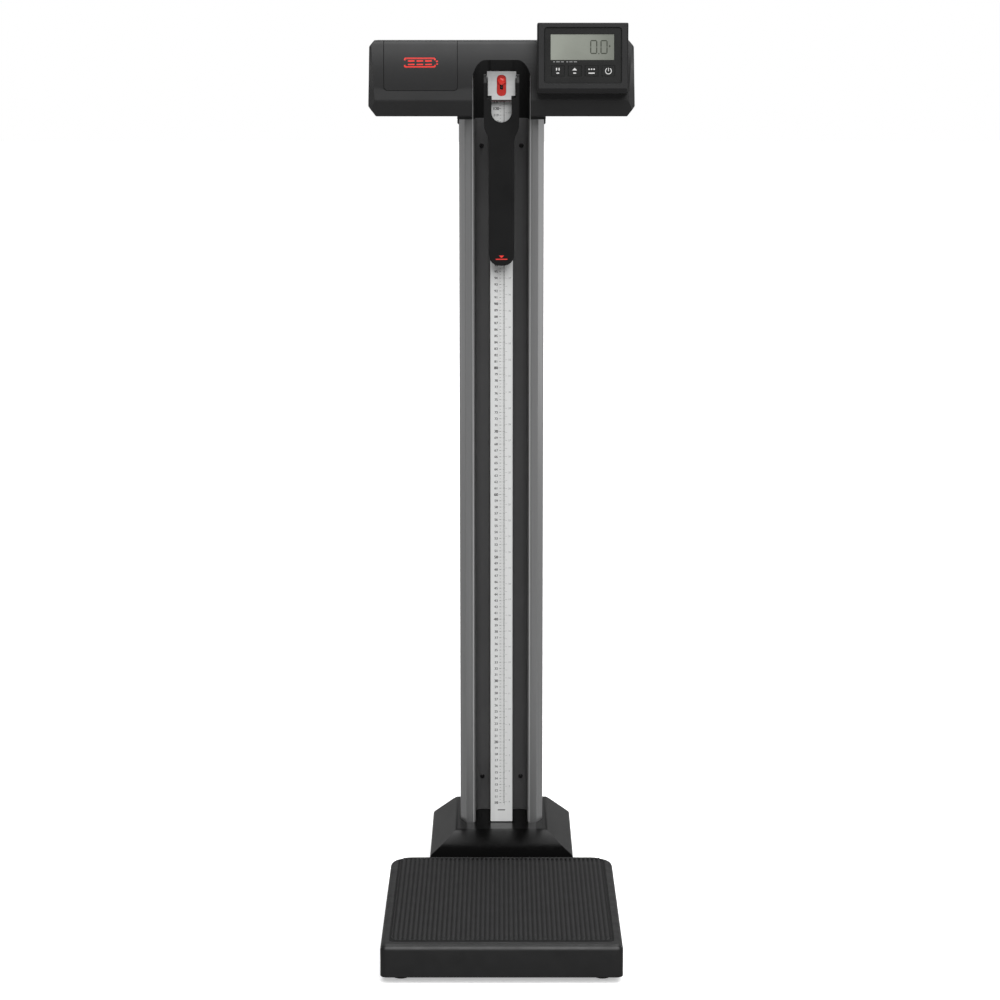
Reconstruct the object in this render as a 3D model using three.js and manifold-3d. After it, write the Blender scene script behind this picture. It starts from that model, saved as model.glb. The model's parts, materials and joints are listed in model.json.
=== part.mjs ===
// Column weighing scale with a telescopic height rod.
// Millimetres, +Z up, origin on the floor below the middle of the overall footprint.
// The person stands on the platform facing away from the column, the display faces -Y.
import * as THREE from 'three';
import { mergeVertices } from 'three/addons/utils/BufferGeometryUtils.js';
import Module from 'manifold-3d';

const wasm = await Module();
wasm.setup();

// Driving dimensions.
const GAP = 0.3;
const DEPTH = 680;
const FRONT = -DEPTH / 2;
const REAR = DEPTH / 2;

const PLATFORM = { half: 172.5, depth: 425, top: 57.6, skirt: 10.5, wall: 3, round: 9, frontCorner: 9, rearCorner: 27 };
PLATFORM.rear = FRONT + PLATFORM.depth;
const MAT = { half: 160, margin: 18, thickness: 1.5, top: 58, corner: 10 };
const BASE = { half: 158, bottom: 12, top: 18, inset: 12, neckHalf: 100, tailHalf: 72, neckRear: 268, tailRear: 330 };
const CELL = { width: 14, length: 60, height: 12, x: 110, frontY: -285, rearY: 30, slot: 4 };
const CARRIER = { half: 150, bottom: 34, thickness: 3, bossRadius: 6, rib: 4 };
const FOOT = { radius: 12, height: 7, studRadius: 4, studBottom: 3.8, studTop: 27, frontX: 144, rearX: 88 };
FOOT.frontY = FRONT + 36;
FOOT.rearY = 236;
const WHEEL = { radius: 25, width: 18, x: 88, y: 306, z: 27, axleRadius: 4, axleHalf: 103 };

const COLUMN = { half: 65.7, front: 185, rear: 275, lipOuter: 56.5, chamferY: 207, bottom: 26.3, top: 1290, wall: 2.5 };
const CHANNEL = { half: 43.5, back: 260.8, linerThickness: 1.5, corner: 12, bottom: 85.6 };
const SHROUD = { half: 112.5, ridgeHalf: 72.5, shoulder: 57, top: 85, bottom: 6, front: 87, roundY: 148, wall: 3 };

const RULE = { half: 17.5, front: 185, depth: 12, bottom: 86, top: 1265, wallX: 2.6, wallY: 1.8 };
RULE.back = RULE.front + RULE.depth;
const ROD = { half: 13, depth: 6, bottom: 120, top: 1265 };
ROD.front = RULE.front + (RULE.depth - ROD.depth) / 2;
ROD.back = ROD.front + ROD.depth;
const BRACKET_HEIGHTS = { lower: 170, upper: 1140 };
const LINER_SCREW = { x: 31, radius: 3.6 };
const LINER_SCREW_HEIGHTS = { lower: 141, upper: 1158 };

const CARRIAGE = { half: 21.2, bottom: 1197, top: 1273, web: 176, reading: 1229, cheek: 3.2, hook: 3.2 };
const HINGE = { y: 178, z: 1264, pinRadius: 2, inner: 18.6, outer: 27 };
const TONGUE = { outer: 27, forkInner: 22.6, window: 15.4, stem: 19.5, bottom: 978, front: 161, back: 172 };
const TRACK = { half: 6.9, bottom: 1236.3, top: 1267.9 };
const BUTTON = { z: 1258.2, radius: 5.6, travel: 10, stemHalf: 1.8 };

const HEAD = { half: 202.7, bottom: 1206, top: 1320.5, front: 140, rear: 285, wall: 2.6, split: 215, lean: 6 };
HEAD.sill = 1230;
const ARCH = { half: 44.7, top: 1291, roundX: 21, roundZ: 35, bridge: 10 };
const COLLAR = { half: 68, bottom: 1200.6, front: 182, rear: 278 };
const DOOR = { left: -178.7, right: -66.4, bottom: 1244.6, corner: 7, wrapY: 166, gap: 0.4 };
const TRAY = { left: -173, right: -72, front: 151, back: 205, bottom: 1226, top: 1313, wall: 2 };
const DISPLAY = { width: 137, height: 104.9, depth: 28, centre: 122.2, bottom: 1240, wall: 2.4, corner: 2 };
const PANEL = { left: -57.2, right: 57.8, bottom: 14.7, top: 97.3, recess: 2, thickness: 2, corner: 4 };
const LCD = { left: -48.7, right: 47.5, bottom: 49.2, top: 88.2, thickness: 4 };
const KEY = { width: 19, height: 15, thickness: 1.6, pitch: 25.4, firstX: -37.5, z: 33.2, gap: 0.4 };
const CABLE = { radius: 2.5, x: 30, floorZ: 29, ductY: 268, topZ: 1304, sideX: 110, bend: 14 };
const INLET = { x: -120, y: 250, radius: 6, bore: 3.2, length: 14 };

const sides = { left: -1, right: 1 };
const part = new THREE.Group();

// ---- Materials ----
function material(color, roughness, metalness = 0) {
  return new THREE.MeshStandardMaterial({ color, roughness, metalness });
}
const materials = {
  steel: material(0x8d9094, 0.45, 1),
  zinc: material(0xb4b7ba, 0.35, 1),
  aluminium: material(0xa9abad, 0.35, 0.9),
  ruleAluminium: material(0xcfd0d1, 0.4, 0.8),
  darkSheet: material(0x2b2c2d, 0.5),
  darkShell: material(0x333435, 0.5),
  glossBlack: material(0x1b1b1c, 0.25),
  liner: material(0x2c2c2d, 0.4),
  rubber: material(0x303031, 0.8),
  tongue: material(0x1f1f20, 0.45),
  red: material(0xd8231c, 0.35),
  lcd: material(0x8d9385, 0.25),
  board: material(0x1f5a36, 0.6),
  cable: material(0x151515, 0.6),
};

// ---- Solids ----
function toSolid(geometry) {
  const bare = geometry.clone();
  bare.deleteAttribute('normal');
  bare.deleteAttribute('uv');
  const merged = mergeVertices(bare, 1e-4);
  const vertProperties = new Float32Array(merged.attributes.position.array);
  const triVerts = new Uint32Array(merged.index.array);
  return new wasm.Manifold(new wasm.Mesh({ numProp: 3, vertProperties, triVerts }));
}

function toGeometry(solid) {
  const mesh = solid.getMesh();
  const geometry = new THREE.BufferGeometry();
  geometry.setAttribute('position', new THREE.BufferAttribute(new Float32Array(mesh.vertProperties), 3));
  geometry.setIndex(new THREE.BufferAttribute(new Uint32Array(mesh.triVerts), 1));
  geometry.computeVertexNormals();
  return geometry;
}

function join(...geometries) {
  return toGeometry(geometries.map(toSolid).reduce((whole, next) => whole.add(next)));
}

function cut(geometry, ...tools) {
  return toGeometry(tools.map(toSolid).reduce((whole, tool) => whole.subtract(tool), toSolid(geometry)));
}

function common(...geometries) {
  return toGeometry(geometries.map(toSolid).reduce((whole, next) => whole.intersect(next)));
}

// A closed outline through corners [a, b, radius]; each corner with a radius is rounded by a curve.
function outline(corners) {
  const shape = new THREE.Shape();
  const toward = (from, to, distance) => {
    const start = new THREE.Vector2(from[0], from[1]);
    const step = new THREE.Vector2(to[0], to[1]).sub(start).setLength(distance);
    return start.add(step);
  };
  corners.forEach((corner, index) => {
    const radius = corner[2] ?? 0;
    const before = toward(corner, corners.at(index - 1), radius);
    const after = toward(corner, corners[(index + 1) % corners.length], radius);
    if (index === 0) shape.moveTo(before.x, before.y);
    else shape.lineTo(before.x, before.y);
    if (radius > 0) shape.quadraticCurveTo(corner[0], corner[1], after.x, after.y);
  });
  shape.closePath();
  return shape;
}

function asShape(profile) {
  return Array.isArray(profile) ? outline(profile) : profile;
}

function extrude(profile, depth, curveSegments) {
  return new THREE.ExtrudeGeometry(asShape(profile), { depth, curveSegments, bevelEnabled: false });
}

// Outline in X and Y, raised from z0 to z1.
function alongZ(profile, z0, z1, curveSegments = 5) {
  return extrude(profile, z1 - z0, curveSegments).translate(0, 0, z0);
}

// Outline in X and Z, carried from y0 to y1.
function alongY(profile, y0, y1, curveSegments = 5) {
  return extrude(profile, y1 - y0, curveSegments).rotateX(Math.PI / 2).translate(0, y1, 0);
}

// Outline in Y and Z, carried from x0 to x1.
function alongX(profile, x0, x1, curveSegments = 5) {
  return extrude(profile, x1 - x0, curveSegments).rotateZ(Math.PI / 2).rotateY(Math.PI / 2).translate(x0, 0, 0);
}

function box(x0, x1, y0, y1, z0, z1) {
  const geometry = new THREE.BoxGeometry(x1 - x0, y1 - y0, z1 - z0);
  return geometry.translate((x0 + x1) / 2, (y0 + y1) / 2, (z0 + z1) / 2);
}

function mirroredBoxes(x0, x1, y0, y1, z0, z1) {
  return [box(x0, x1, y0, y1, z0, z1), box(-x1, -x0, y0, y1, z0, z1)];
}

function roundedRectangle(x0, x1, z0, z1, radius) {
  return [[x0, z0, radius], [x1, z0, radius], [x1, z1, radius], [x0, z1, radius]];
}

// Cylinders along each axis, between two stations.
function postZ(x, y, radius, z0, z1, facets = 16) {
  return new THREE.CylinderGeometry(radius, radius, z1 - z0, facets).rotateX(Math.PI / 2).translate(x, y, (z0 + z1) / 2);
}

function pinX(y, z, radius, x0, x1, facets = 16) {
  return new THREE.CylinderGeometry(radius, radius, x1 - x0, facets).rotateZ(Math.PI / 2).translate((x0 + x1) / 2, y, z);
}

function pinY(x, z, radius, y0, y1, facets = 16) {
  return new THREE.CylinderGeometry(radius, radius, y1 - y0, facets).translate(x, (y0 + y1) / 2, z);
}

function add(name, geometry, finish, group = part) {
  const mesh = new THREE.Mesh(geometry, finish);
  mesh.name = name;
  group.add(mesh);
}

// ---- Base: frame plate, feet, load cells and the carrier that stands on them ----
const cellPlaces = {
  front_left: [-CELL.x, CELL.frontY],
  front_right: [CELL.x, CELL.frontY],
  rear_left: [-CELL.x, CELL.rearY],
  rear_right: [CELL.x, CELL.rearY],
};
const footPlaces = {
  front_left: [-FOOT.frontX, FOOT.frontY],
  front_right: [FOOT.frontX, FOOT.frontY],
  rear_left: [-FOOT.rearX, FOOT.rearY],
  rear_right: [FOOT.rearX, FOOT.rearY],
};

function buildBase() {
  const plateFront = FRONT + BASE.inset / 2;
  const plateRear = PLATFORM.rear - BASE.inset;
  const plan = [
    [-BASE.half, plateFront, 8], [BASE.half, plateFront, 8], [BASE.half, plateRear, 20],
    [BASE.neckHalf, plateRear], [BASE.neckHalf, BASE.neckRear], [BASE.tailHalf, BASE.neckRear],
    [BASE.tailHalf, BASE.tailRear, 4], [-BASE.tailHalf, BASE.tailRear, 4], [-BASE.tailHalf, BASE.neckRear],
    [-BASE.neckHalf, BASE.neckRear], [-BASE.neckHalf, plateRear], [-BASE.half, plateRear, 20],
  ];
  const studHoles = Object.values(footPlaces).map(([x, y]) =>
    postZ(x, y, FOOT.studRadius + 0.5, BASE.bottom - 1, BASE.top + 1));
  add('base_frame', cut(alongZ(plan, BASE.bottom, BASE.top), ...studHoles), materials.steel);
}

function buildLoadCells() {
  const bottom = BASE.top + GAP;
  const top = bottom + CELL.height;
  for (const [place, [x, y]] of Object.entries(cellPlaces)) {
    const body = box(x - CELL.width / 2, x + CELL.width / 2, y - CELL.length / 2, y + CELL.length / 2, bottom, top);
    const middle = (bottom + top) / 2;
    const flexures = [-1, 1].map((end) => pinX(y + end * 7, middle, CELL.slot, x - CELL.width, x + CELL.width, 12));
    const waist = box(x - CELL.width, x + CELL.width, y - 7, y + 7, middle - 1.5, middle + 1.5);
    add(`load_cell_${place}`, cut(body, ...flexures, waist), materials.aluminium);
  }
}

function buildLoadCarrier() {
  const top = CARRIER.bottom + CARRIER.thickness;
  const front = FRONT + 18;
  const rear = PLATFORM.rear - 16;
  const sheet = alongZ(roundedRectangle(-CARRIER.half, CARRIER.half, front, rear, 14), CARRIER.bottom, top);
  const cellTop = BASE.top + GAP + CELL.height + GAP;
  const bosses = Object.values(cellPlaces).map(([x, y]) =>
    postZ(x, y - CELL.length / 2 + 8, CARRIER.bossRadius, cellTop, top - 0.5));
  const ribTop = PLATFORM.top - PLATFORM.wall - 0.6;
  const ribs = [-100, 0, 100].map((x) =>
    box(x - CARRIER.rib / 2, x + CARRIER.rib / 2, front + 10, rear - 10, top - 0.5, ribTop));
  add('load_carrier', join(sheet, ...bosses, ...ribs), materials.steel);
}

function buildFeet() {
  for (const [place, [x, y]] of Object.entries(footPlaces)) {
    const socket = postZ(x, y, FOOT.studRadius + 0.4, FOOT.studBottom - GAP, FOOT.height + 1);
    add(`foot_pad_${place}`, cut(postZ(x, y, FOOT.radius, 0, FOOT.height, 24), socket), materials.rubber);
    const shank = postZ(x, y, FOOT.studRadius, FOOT.studBottom, FOOT.studTop);
    const collar = postZ(x, y, FOOT.studRadius + 2.5, FOOT.height + GAP, FOOT.height + 3.5, 6);
    add(`foot_stud_${place}`, join(shank, collar), materials.zinc);
  }
}

function buildWheels() {
  for (const [side, sign] of Object.entries(sides)) {
    const middle = sign * WHEEL.x;
    const x0 = middle - WHEEL.width / 2;
    const x1 = middle + WHEEL.width / 2;
    const tyre = pinX(WHEEL.y, WHEEL.z, WHEEL.radius, x0, x1, 32);
    const dish = pinX(WHEEL.y, WHEEL.z, WHEEL.radius - 8, sign > 0 ? x1 - 3 : x0 - 1, sign > 0 ? x1 + 1 : x0 + 3, 24);
    const bore = pinX(WHEEL.y, WHEEL.z, WHEEL.axleRadius + 0.4, x0 - 1, x1 + 1);
    add(`transport_wheel_${side}`, cut(tyre, dish, bore), materials.rubber);
  }
  const axle = pinX(WHEEL.y, WHEEL.z, WHEEL.axleRadius, -WHEEL.axleHalf, WHEEL.axleHalf);
  add('wheel_axle', axle, materials.zinc);
}

// ---- Platform ----
function buildPlatform() {
  const { half, rear, top, skirt, wall } = PLATFORM;
  const side = [[FRONT, skirt, 2], [FRONT, top, PLATFORM.round], [rear, top, 2], [rear, skirt, 2]];
  const plan = [
    [-half, FRONT, PLATFORM.frontCorner], [half, FRONT, PLATFORM.frontCorner],
    [half, rear, PLATFORM.rearCorner], [-half, rear, PLATFORM.rearCorner],
  ];
  const outer = common(alongX(side, -half, half), alongZ(plan, skirt, top));
  const room = alongZ(roundedRectangle(wall - half, half - wall, FRONT + wall, rear - wall, 20), skirt - 1, top - wall);
  const matFront = FRONT + MAT.margin;
  const seat = MAT.top - MAT.thickness - GAP;
  const matPlan = (grow) => [
    [-MAT.half - grow, matFront - grow, MAT.corner], [MAT.half + grow, matFront - grow, MAT.corner],
    [MAT.half + grow, rear - 3, MAT.corner * 2], [-MAT.half - grow, rear - 3, MAT.corner * 2],
  ];
  const neck = box(-BASE.neckHalf - 4, BASE.neckHalf + 4, rear - wall - 20, rear + 1, skirt - 1, BASE.top + 16);
  const cover = cut(outer, room, alongZ(matPlan(GAP), seat, top + 1), neck);
  add('platform_cover', cover, materials.darkSheet);
  add('platform_mat', alongZ(matPlan(0), MAT.top - MAT.thickness, MAT.top), materials.rubber);
}

// ---- Column, its liner and the foot that holds it ----
function columnProfile(grow = 0) {
  const { half, front, rear, lipOuter, chamferY } = COLUMN;
  return [
    [-half - grow, chamferY - grow, 2], [-lipOuter, front - grow, 1.5], [-CHANNEL.half + grow, front - grow, 1],
    [-CHANNEL.half + grow, CHANNEL.back - grow], [CHANNEL.half - grow, CHANNEL.back - grow],
    [CHANNEL.half - grow, front - grow, 1], [lipOuter, front - grow, 1.5], [half + grow, chamferY - grow, 2],
    [half + grow, rear + grow, 10], [-half - grow, rear + grow, 10],
  ];
}

function buildColumn() {
  const { half, front, rear, lipOuter, chamferY, wall, bottom, top } = COLUMN;
  const solid = alongZ(columnProfile(), bottom, top);
  const chambers = Object.values(sides).map((sign) => {
    const corners = [
      [sign * (half - wall), chamferY + 1], [sign * (lipOuter - 1), front + wall],
      [sign * (CHANNEL.half + wall), front + wall], [sign * (CHANNEL.half + wall), CHANNEL.back],
      [sign * (half - wall), CHANNEL.back],
    ];
    return alongZ(corners, bottom - 1, top + 1);
  });
  const ductHalf = half - wall - 6;
  const duct = box(-ductHalf, ductHalf, CHANNEL.back + wall, rear - wall, bottom - 1, top + 1);
  const leadWay = box(CABLE.x - 6, CABLE.x + 6, CHANNEL.back - 1, CABLE.ductY, bottom - 1, bottom + 22);
  add('column_extrusion', cut(solid, ...chambers, duct, leadWay), materials.aluminium);
}

// The dark channel section that lines the column's front groove.
function buildLiner() {
  const outerHalf = CHANNEL.half - GAP;
  const outerBack = CHANNEL.back - GAP;
  const t = CHANNEL.linerThickness;
  const innerHalf = outerHalf - t;
  const innerBack = outerBack - t;
  const front = COLUMN.front + 3;
  const profile = [
    [-outerHalf, front], [-innerHalf, front], [-innerHalf, innerBack, CHANNEL.corner],
    [innerHalf, innerBack, CHANNEL.corner], [innerHalf, front], [outerHalf, front],
    [outerHalf, outerBack, 2], [-outerHalf, outerBack, 2],
  ];
  add('channel_liner', alongZ(profile, CHANNEL.bottom, COLUMN.top), materials.liner);
  for (const [level, z] of Object.entries(LINER_SCREW_HEIGHTS)) {
    for (const [side, sign] of Object.entries(sides)) {
      const head = pinY(sign * LINER_SCREW.x, z, LINER_SCREW.radius, innerBack - 3.2, innerBack - 1, 12);
      add(`liner_screw_${level}_${side}`, head, materials.glossBlack);
    }
  }
}

function buildColumnFoot() {
  const plateBottom = BASE.top + GAP;
  const plateTop = COLUMN.bottom - GAP;
  const plan = [
    [-95, 150, 6], [95, 150, 6], [95, FOOT.rearY - 20], [74, FOOT.rearY - 20],
    [74, 324, 3], [-74, 324, 3], [-74, FOOT.rearY - 20], [-95, FOOT.rearY - 20],
  ];
  const plate = alongZ(plan, plateBottom, plateTop);
  const cheekInner = COLUMN.half + GAP + 0.4;
  const cheekProfile = [[200, plateTop - 1], [270, plateTop - 1], [270, 74, 6], [200, 74, 6]];
  const earProfile = [[285, plateTop - 1], [324, plateTop - 1], [320, 42, 8], [294, 42, 8]];
  const braces = Object.values(sides).flatMap((sign) => {
    const x0 = sign > 0 ? cheekInner : -cheekInner - 4;
    return [alongX(cheekProfile, x0, x0 + 4), alongX(earProfile, x0, x0 + 4)];
  });
  const axleHole = pinX(WHEEL.y, WHEEL.z, WHEEL.axleRadius + 0.4, -90, 90);
  const cableWay = box(CABLE.x - 6, CABLE.x + 6, 149, 274, plateBottom - 1, plateTop + 1);
  add('column_foot', cut(join(plate, ...braces), axleHole, cableWay), materials.steel);
}

function shroudBody(inset) {
  const { half, ridgeHalf, shoulder, top, bottom, front, roundY } = SHROUD;
  const lower = inset > 0 ? bottom - 1 : bottom;
  const across = [
    [inset - half, lower], [half - inset, lower], [half - inset, shoulder, 3],
    [ridgeHalf - inset, top - inset, 3], [inset - ridgeHalf, top - inset, 3], [inset - half, shoulder, 3],
  ];
  const side = new THREE.Shape();
  side.moveTo(front + inset, lower);
  side.lineTo(front + inset, shoulder - 6);
  const steep = [front + inset + 13, shoulder - inset + 9];
  const easing = [roundY - 26, top - inset - 4.5];
  side.bezierCurveTo(...steep, ...easing, roundY, top - inset);
  side.lineTo(REAR - inset - 8, top - inset);
  side.quadraticCurveTo(REAR - inset, top - inset, REAR - inset, top - inset - 8);
  side.lineTo(REAR - inset, lower);
  side.closePath();
  return common(alongY(across, front - 1, REAR + 1), alongX(side, -half - 1, half + 1, 10));
}

function buildShroud() {
  const columnWay = alongZ(columnProfile(0.8), SHROUD.bottom, SHROUD.top + 5);
  const liner = CHANNEL.half - CHANNEL.linerThickness - 1.2;
  const linerWay = cut(
    box(-CHANNEL.half, CHANNEL.half, COLUMN.front + 2, CHANNEL.back + 1, SHROUD.bottom, SHROUD.top + 5),
    box(-liner, liner, COLUMN.front, CHANNEL.back - 2.6, SHROUD.bottom - 1, SHROUD.top + 6),
  );
  const arches = mirroredBoxes(WHEEL.x - 12, WHEEL.x + 12, 270, REAR + 1, SHROUD.bottom - 1, 56);
  const neck = box(-BASE.neckHalf - 4, BASE.neckHalf + 4, SHROUD.front - 1, SHROUD.front + 10, SHROUD.bottom - 1, BASE.top + 16);
  const shell = cut(shroudBody(0), shroudBody(SHROUD.wall), columnWay, linerWay, neck, ...arches);
  add('foot_shroud', shell, materials.glossBlack);
}

// ---- Height rod ----
function frameProfile(half, front, back, innerHalf, innerFront, innerBack) {
  const shape = outline([[-half, front, 1], [half, front, 1], [half, back, 1], [-half, back, 1]]);
  shape.holes.push(outline([
    [-innerHalf, innerFront], [-innerHalf, innerBack], [innerHalf, innerBack], [innerHalf, innerFront],
  ]));
  return shape;
}

function buildRule() {
  const innerHalf = RULE.half - RULE.wallX;
  const innerFront = RULE.front + RULE.wallY;
  const innerBack = RULE.back - RULE.wallY;
  const tube = frameProfile(RULE.half, RULE.front, RULE.back, innerHalf, innerFront, innerBack);
  add('outer_rule', alongZ(tube, RULE.bottom, RULE.top, 2), materials.ruleAluminium);

  const guide = frameProfile(innerHalf - 0.2, innerFront + 0.2, innerBack - 0.2, ROD.half + 0.2, ROD.front - 0.2, ROD.back + 0.2);
  add('rod_guide', alongZ(guide, RULE.top - 26, RULE.top - 1, 1), materials.liner);

  const linerFace = CHANNEL.back - GAP - CHANNEL.linerThickness;
  for (const [level, z] of Object.entries(BRACKET_HEIGHTS)) {
    const bracket = alongX([
      [RULE.back + GAP, z - 14], [RULE.back + GAP, z + 14], [linerFace - GAP, z + 22], [linerFace - GAP, z - 22],
    ], -8, 8);
    add(`rule_bracket_${level}`, bracket, materials.liner);
  }
}

function buildRod() {
  const { half, front, back, bottom, top } = ROD;
  add('inner_rod', alongZ(outline([[-half, front, 1], [half, front, 1], [half, back, 1], [-half, back, 1]]), bottom, top, 2),
    materials.aluminium);
  add('rod_glide', box(-half - 1.6, half + 1.6, front - 1, back + 1, bottom - 20, bottom - GAP), materials.liner);
  const cap = box(-16.8, 16.8, RULE.front + 0.4, RULE.back - 0.4, top + GAP, CARRIAGE.top - 0.6);
  add('rod_cap', cap, materials.liner);
}

// ---- Headpiece ----
function buildCarriage() {
  const { half, bottom, top, web, reading, cheek, hook } = CARRIAGE;
  const ruleFront = RULE.front - 0.4;
  const ruleBack = RULE.back + 0.4;
  const innerHalf = half - cheek;
  const face = box(-half, half, web, ruleFront, reading, top);
  const cheeks = mirroredBoxes(innerHalf, half, web, ruleBack + hook, bottom, top);
  const hooks = mirroredBoxes(11.5, half, ruleBack, ruleBack + hook, bottom, top);
  const pinHoles = pinX(HINGE.y + 1, HINGE.z, HINGE.pinRadius + 0.3, -half - 1, half + 1);
  const pocket = box(-5, 5, web + 1.6, ruleFront + 1, 1232, top - 3);
  const stemSlot = box(-2.6, 2.6, web - 1, web + 2, 1238, top - 5);
  add('slide_carriage', cut(join(face, ...cheeks, ...hooks), pinHoles, pocket, stemSlot), materials.liner);
}

function buildHeadpiecePlate() {
  const front = CARRIAGE.web - GAP - 2;
  const back = CARRIAGE.web - GAP;
  const corners = [
    [-22.2, 1273.5, 0.6], [-22.2, 1265.5], [-20.9, 1265.5], [-20.9, 1236.6, 0.6], [-15, 1236.6], [-15, 1230.5],
    [15, 1230.5], [15, 1236.6], [20.9, 1236.6, 0.6], [20.9, 1265.5], [22.2, 1265.5], [22.2, 1273.5, 0.6],
  ];
  const oval = (grow) => roundedRectangle(-TRACK.half - grow, TRACK.half + grow, TRACK.bottom - grow, TRACK.top + grow, TRACK.half + grow);
  add('carriage_plate', cut(alongY(corners, front, back, 3), alongY(oval(0.3), front - 1, back + 1, 8)), materials.ruleAluminium);
  const bed = alongY(oval(0), front + 0.6, back - 0.1, 8);
  const slotHalf = BUTTON.stemHalf + 0.4;
  const slotBottom = BUTTON.z - BUTTON.travel - slotHalf;
  const slot = box(-slotHalf, slotHalf, front - 1, back + 1, slotBottom, BUTTON.z + slotHalf);
  add('button_track', cut(bed, slot), materials.red);
}

function buildLockButton() {
  const knobZ = BUTTON.z;
  const plateFront = CARRIAGE.web - GAP - 2;
  const knob = pinY(0, knobZ, BUTTON.radius, plateFront - 2.4, plateFront + 0.3, 24);
  const stemHalf = BUTTON.stemHalf;
  const stem = box(-stemHalf, stemHalf, plateFront, CARRIAGE.web + 4.5, knobZ - stemHalf, knobZ + stemHalf);
  const pawl = box(-4.2, 4.2, CARRIAGE.web + 2.4, RULE.front - 1.4, knobZ - 3, knobZ + 5.5);
  add('lock_button', join(knob, stem, pawl), materials.red);
  class Helix extends THREE.Curve {
    getPoint(t, target = new THREE.Vector3()) {
      const turn = t * 5 * 2 * Math.PI;
      const springFoot = 1234;
      const springTop = knobZ - 4;
      return target.set(2.6 * Math.cos(turn), CARRIAGE.web + 5.1 + 2 * Math.sin(turn), springFoot + t * (springTop - springFoot));
    }
  }
  const wire = new THREE.Shape().absarc(0, 0, 0.4, 0, 2 * Math.PI);
  const spring = new THREE.ExtrudeGeometry(wire, { steps: 50, curveSegments: 3, extrudePath: new Helix(), bevelEnabled: false });
  add('lock_spring', spring, materials.zinc);
}

function buildTongue() {
  const { outer, forkInner, window: open, stem, bottom, front, back } = TONGUE;
  const forkTop = HINGE.z - 8;
  const shape = new THREE.Shape();
  shape.moveTo(-outer, forkTop);
  shape.lineTo(-outer, 1195);
  shape.bezierCurveTo(-outer, 1180, -stem, 1180, -stem, 1165);
  shape.lineTo(-stem, bottom + 17);
  shape.quadraticCurveTo(-stem + 1, bottom, 0, bottom);
  shape.quadraticCurveTo(stem - 1, bottom, stem, bottom + 17);
  shape.lineTo(stem, 1165);
  shape.bezierCurveTo(stem, 1180, outer, 1180, outer, 1195);
  shape.lineTo(outer, forkTop);
  shape.lineTo(forkInner, forkTop);
  shape.lineTo(forkInner, 1234);
  shape.lineTo(open, 1230);
  shape.lineTo(open, 1196.5 + open);
  shape.absarc(0, 1196.5 + open, open, 0, -Math.PI, true);
  shape.lineTo(-open, 1230);
  shape.lineTo(-forkInner, 1234);
  shape.lineTo(-forkInner, forkTop);
  shape.closePath();
  const blade = alongY(shape, front, back, 6);
  const lugProfile = [
    [front, forkTop - 12], [back, forkTop - 12], [HINGE.y + 5, HINGE.z - 6, 3], [HINGE.y + 5, HINGE.z + 5, 4],
    [front + 4, HINGE.z + 5, 4], [front, forkTop, 2],
  ];
  const lugs = Object.values(sides).map((sign) => {
    const x0 = sign > 0 ? forkInner : -outer;
    return alongX(lugProfile, x0, x0 + outer - forkInner);
  });
  const pinHole = pinX(HINGE.y + 1, HINGE.z, HINGE.pinRadius + 0.3, -outer - 1, outer + 1);
  add('measuring_tongue', cut(join(blade, ...lugs), pinHole), materials.tongue);
  for (const [side, sign] of Object.entries(sides)) {
    const x0 = sign > 0 ? HINGE.inner : -HINGE.outer + 0.3;
    add(`hinge_pin_${side}`, pinX(HINGE.y + 1, HINGE.z, HINGE.pinRadius, x0, x0 + HINGE.outer - HINGE.inner - 0.3), materials.zinc);
  }
}

// ---- Head housing ----
function headEnvelope(inset) {
  const { half, bottom, top, front, rear, lean, sill } = HEAD;
  const face = [
    [-192.6 + inset, top - inset, 1], [192.6 - inset, top - inset, 1], [200.3 - inset, 1311 - inset, 1],
    [half - inset, 1221.5 + inset, 1], [191 - inset, bottom + inset, 1], [inset - 191, bottom + inset, 1],
    [inset - half, 1221.5 + inset, 1], [inset - 200.3, 1311 - inset, 1],
  ];
  const side = [
    [front + inset, sill, 2], [front + lean + inset, top - inset, 5], [rear - inset, top - inset, 10],
    [rear - inset, bottom + inset, 8], [front + 12 + inset, bottom + inset, 2],
  ];
  const plan = [
    [-192.6 + inset, front + inset, 1], [192.6 - inset, front + inset, 1], [half - inset, front + 12 + inset, 1],
    [half - inset, rear + 1 - inset], [inset - half, rear + 1 - inset], [inset - half, front + 12 + inset, 1],
  ];
  return common(
    alongY(face, front - 1, rear + 1, 2),
    alongX(side, -half - 1, half + 1),
    alongZ(plan, bottom - 1, top + 1, 2),
  );
}

function archOpening() {
  const { half, top, roundX, roundZ } = ARCH;
  const shape = new THREE.Shape();
  const springing = top - roundZ;
  shape.moveTo(-half, COLLAR.bottom - 10);
  shape.lineTo(-half, springing);
  shape.absellipse(roundX - half, springing, roundX, roundZ, Math.PI, Math.PI / 2, true);
  shape.absellipse(half - roundX, springing, roundX, roundZ, Math.PI / 2, 0, true);
  shape.lineTo(half, COLLAR.bottom - 10);
  shape.closePath();
  return alongY(shape, HEAD.front - 5, HEAD.front + ARCH.bridge + 0.1, 8);
}

function doorRegion(shrink) {
  const { left, right, bottom, corner } = DOOR;
  const above = HEAD.top + 20;
  const profile = [
    [left + shrink, above], [left + shrink, bottom + shrink, corner],
    [right - shrink, bottom + shrink, corner], [right - shrink, above],
  ];
  return alongY(profile, HEAD.front - 5, DOOR.wrapY - shrink);
}

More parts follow.
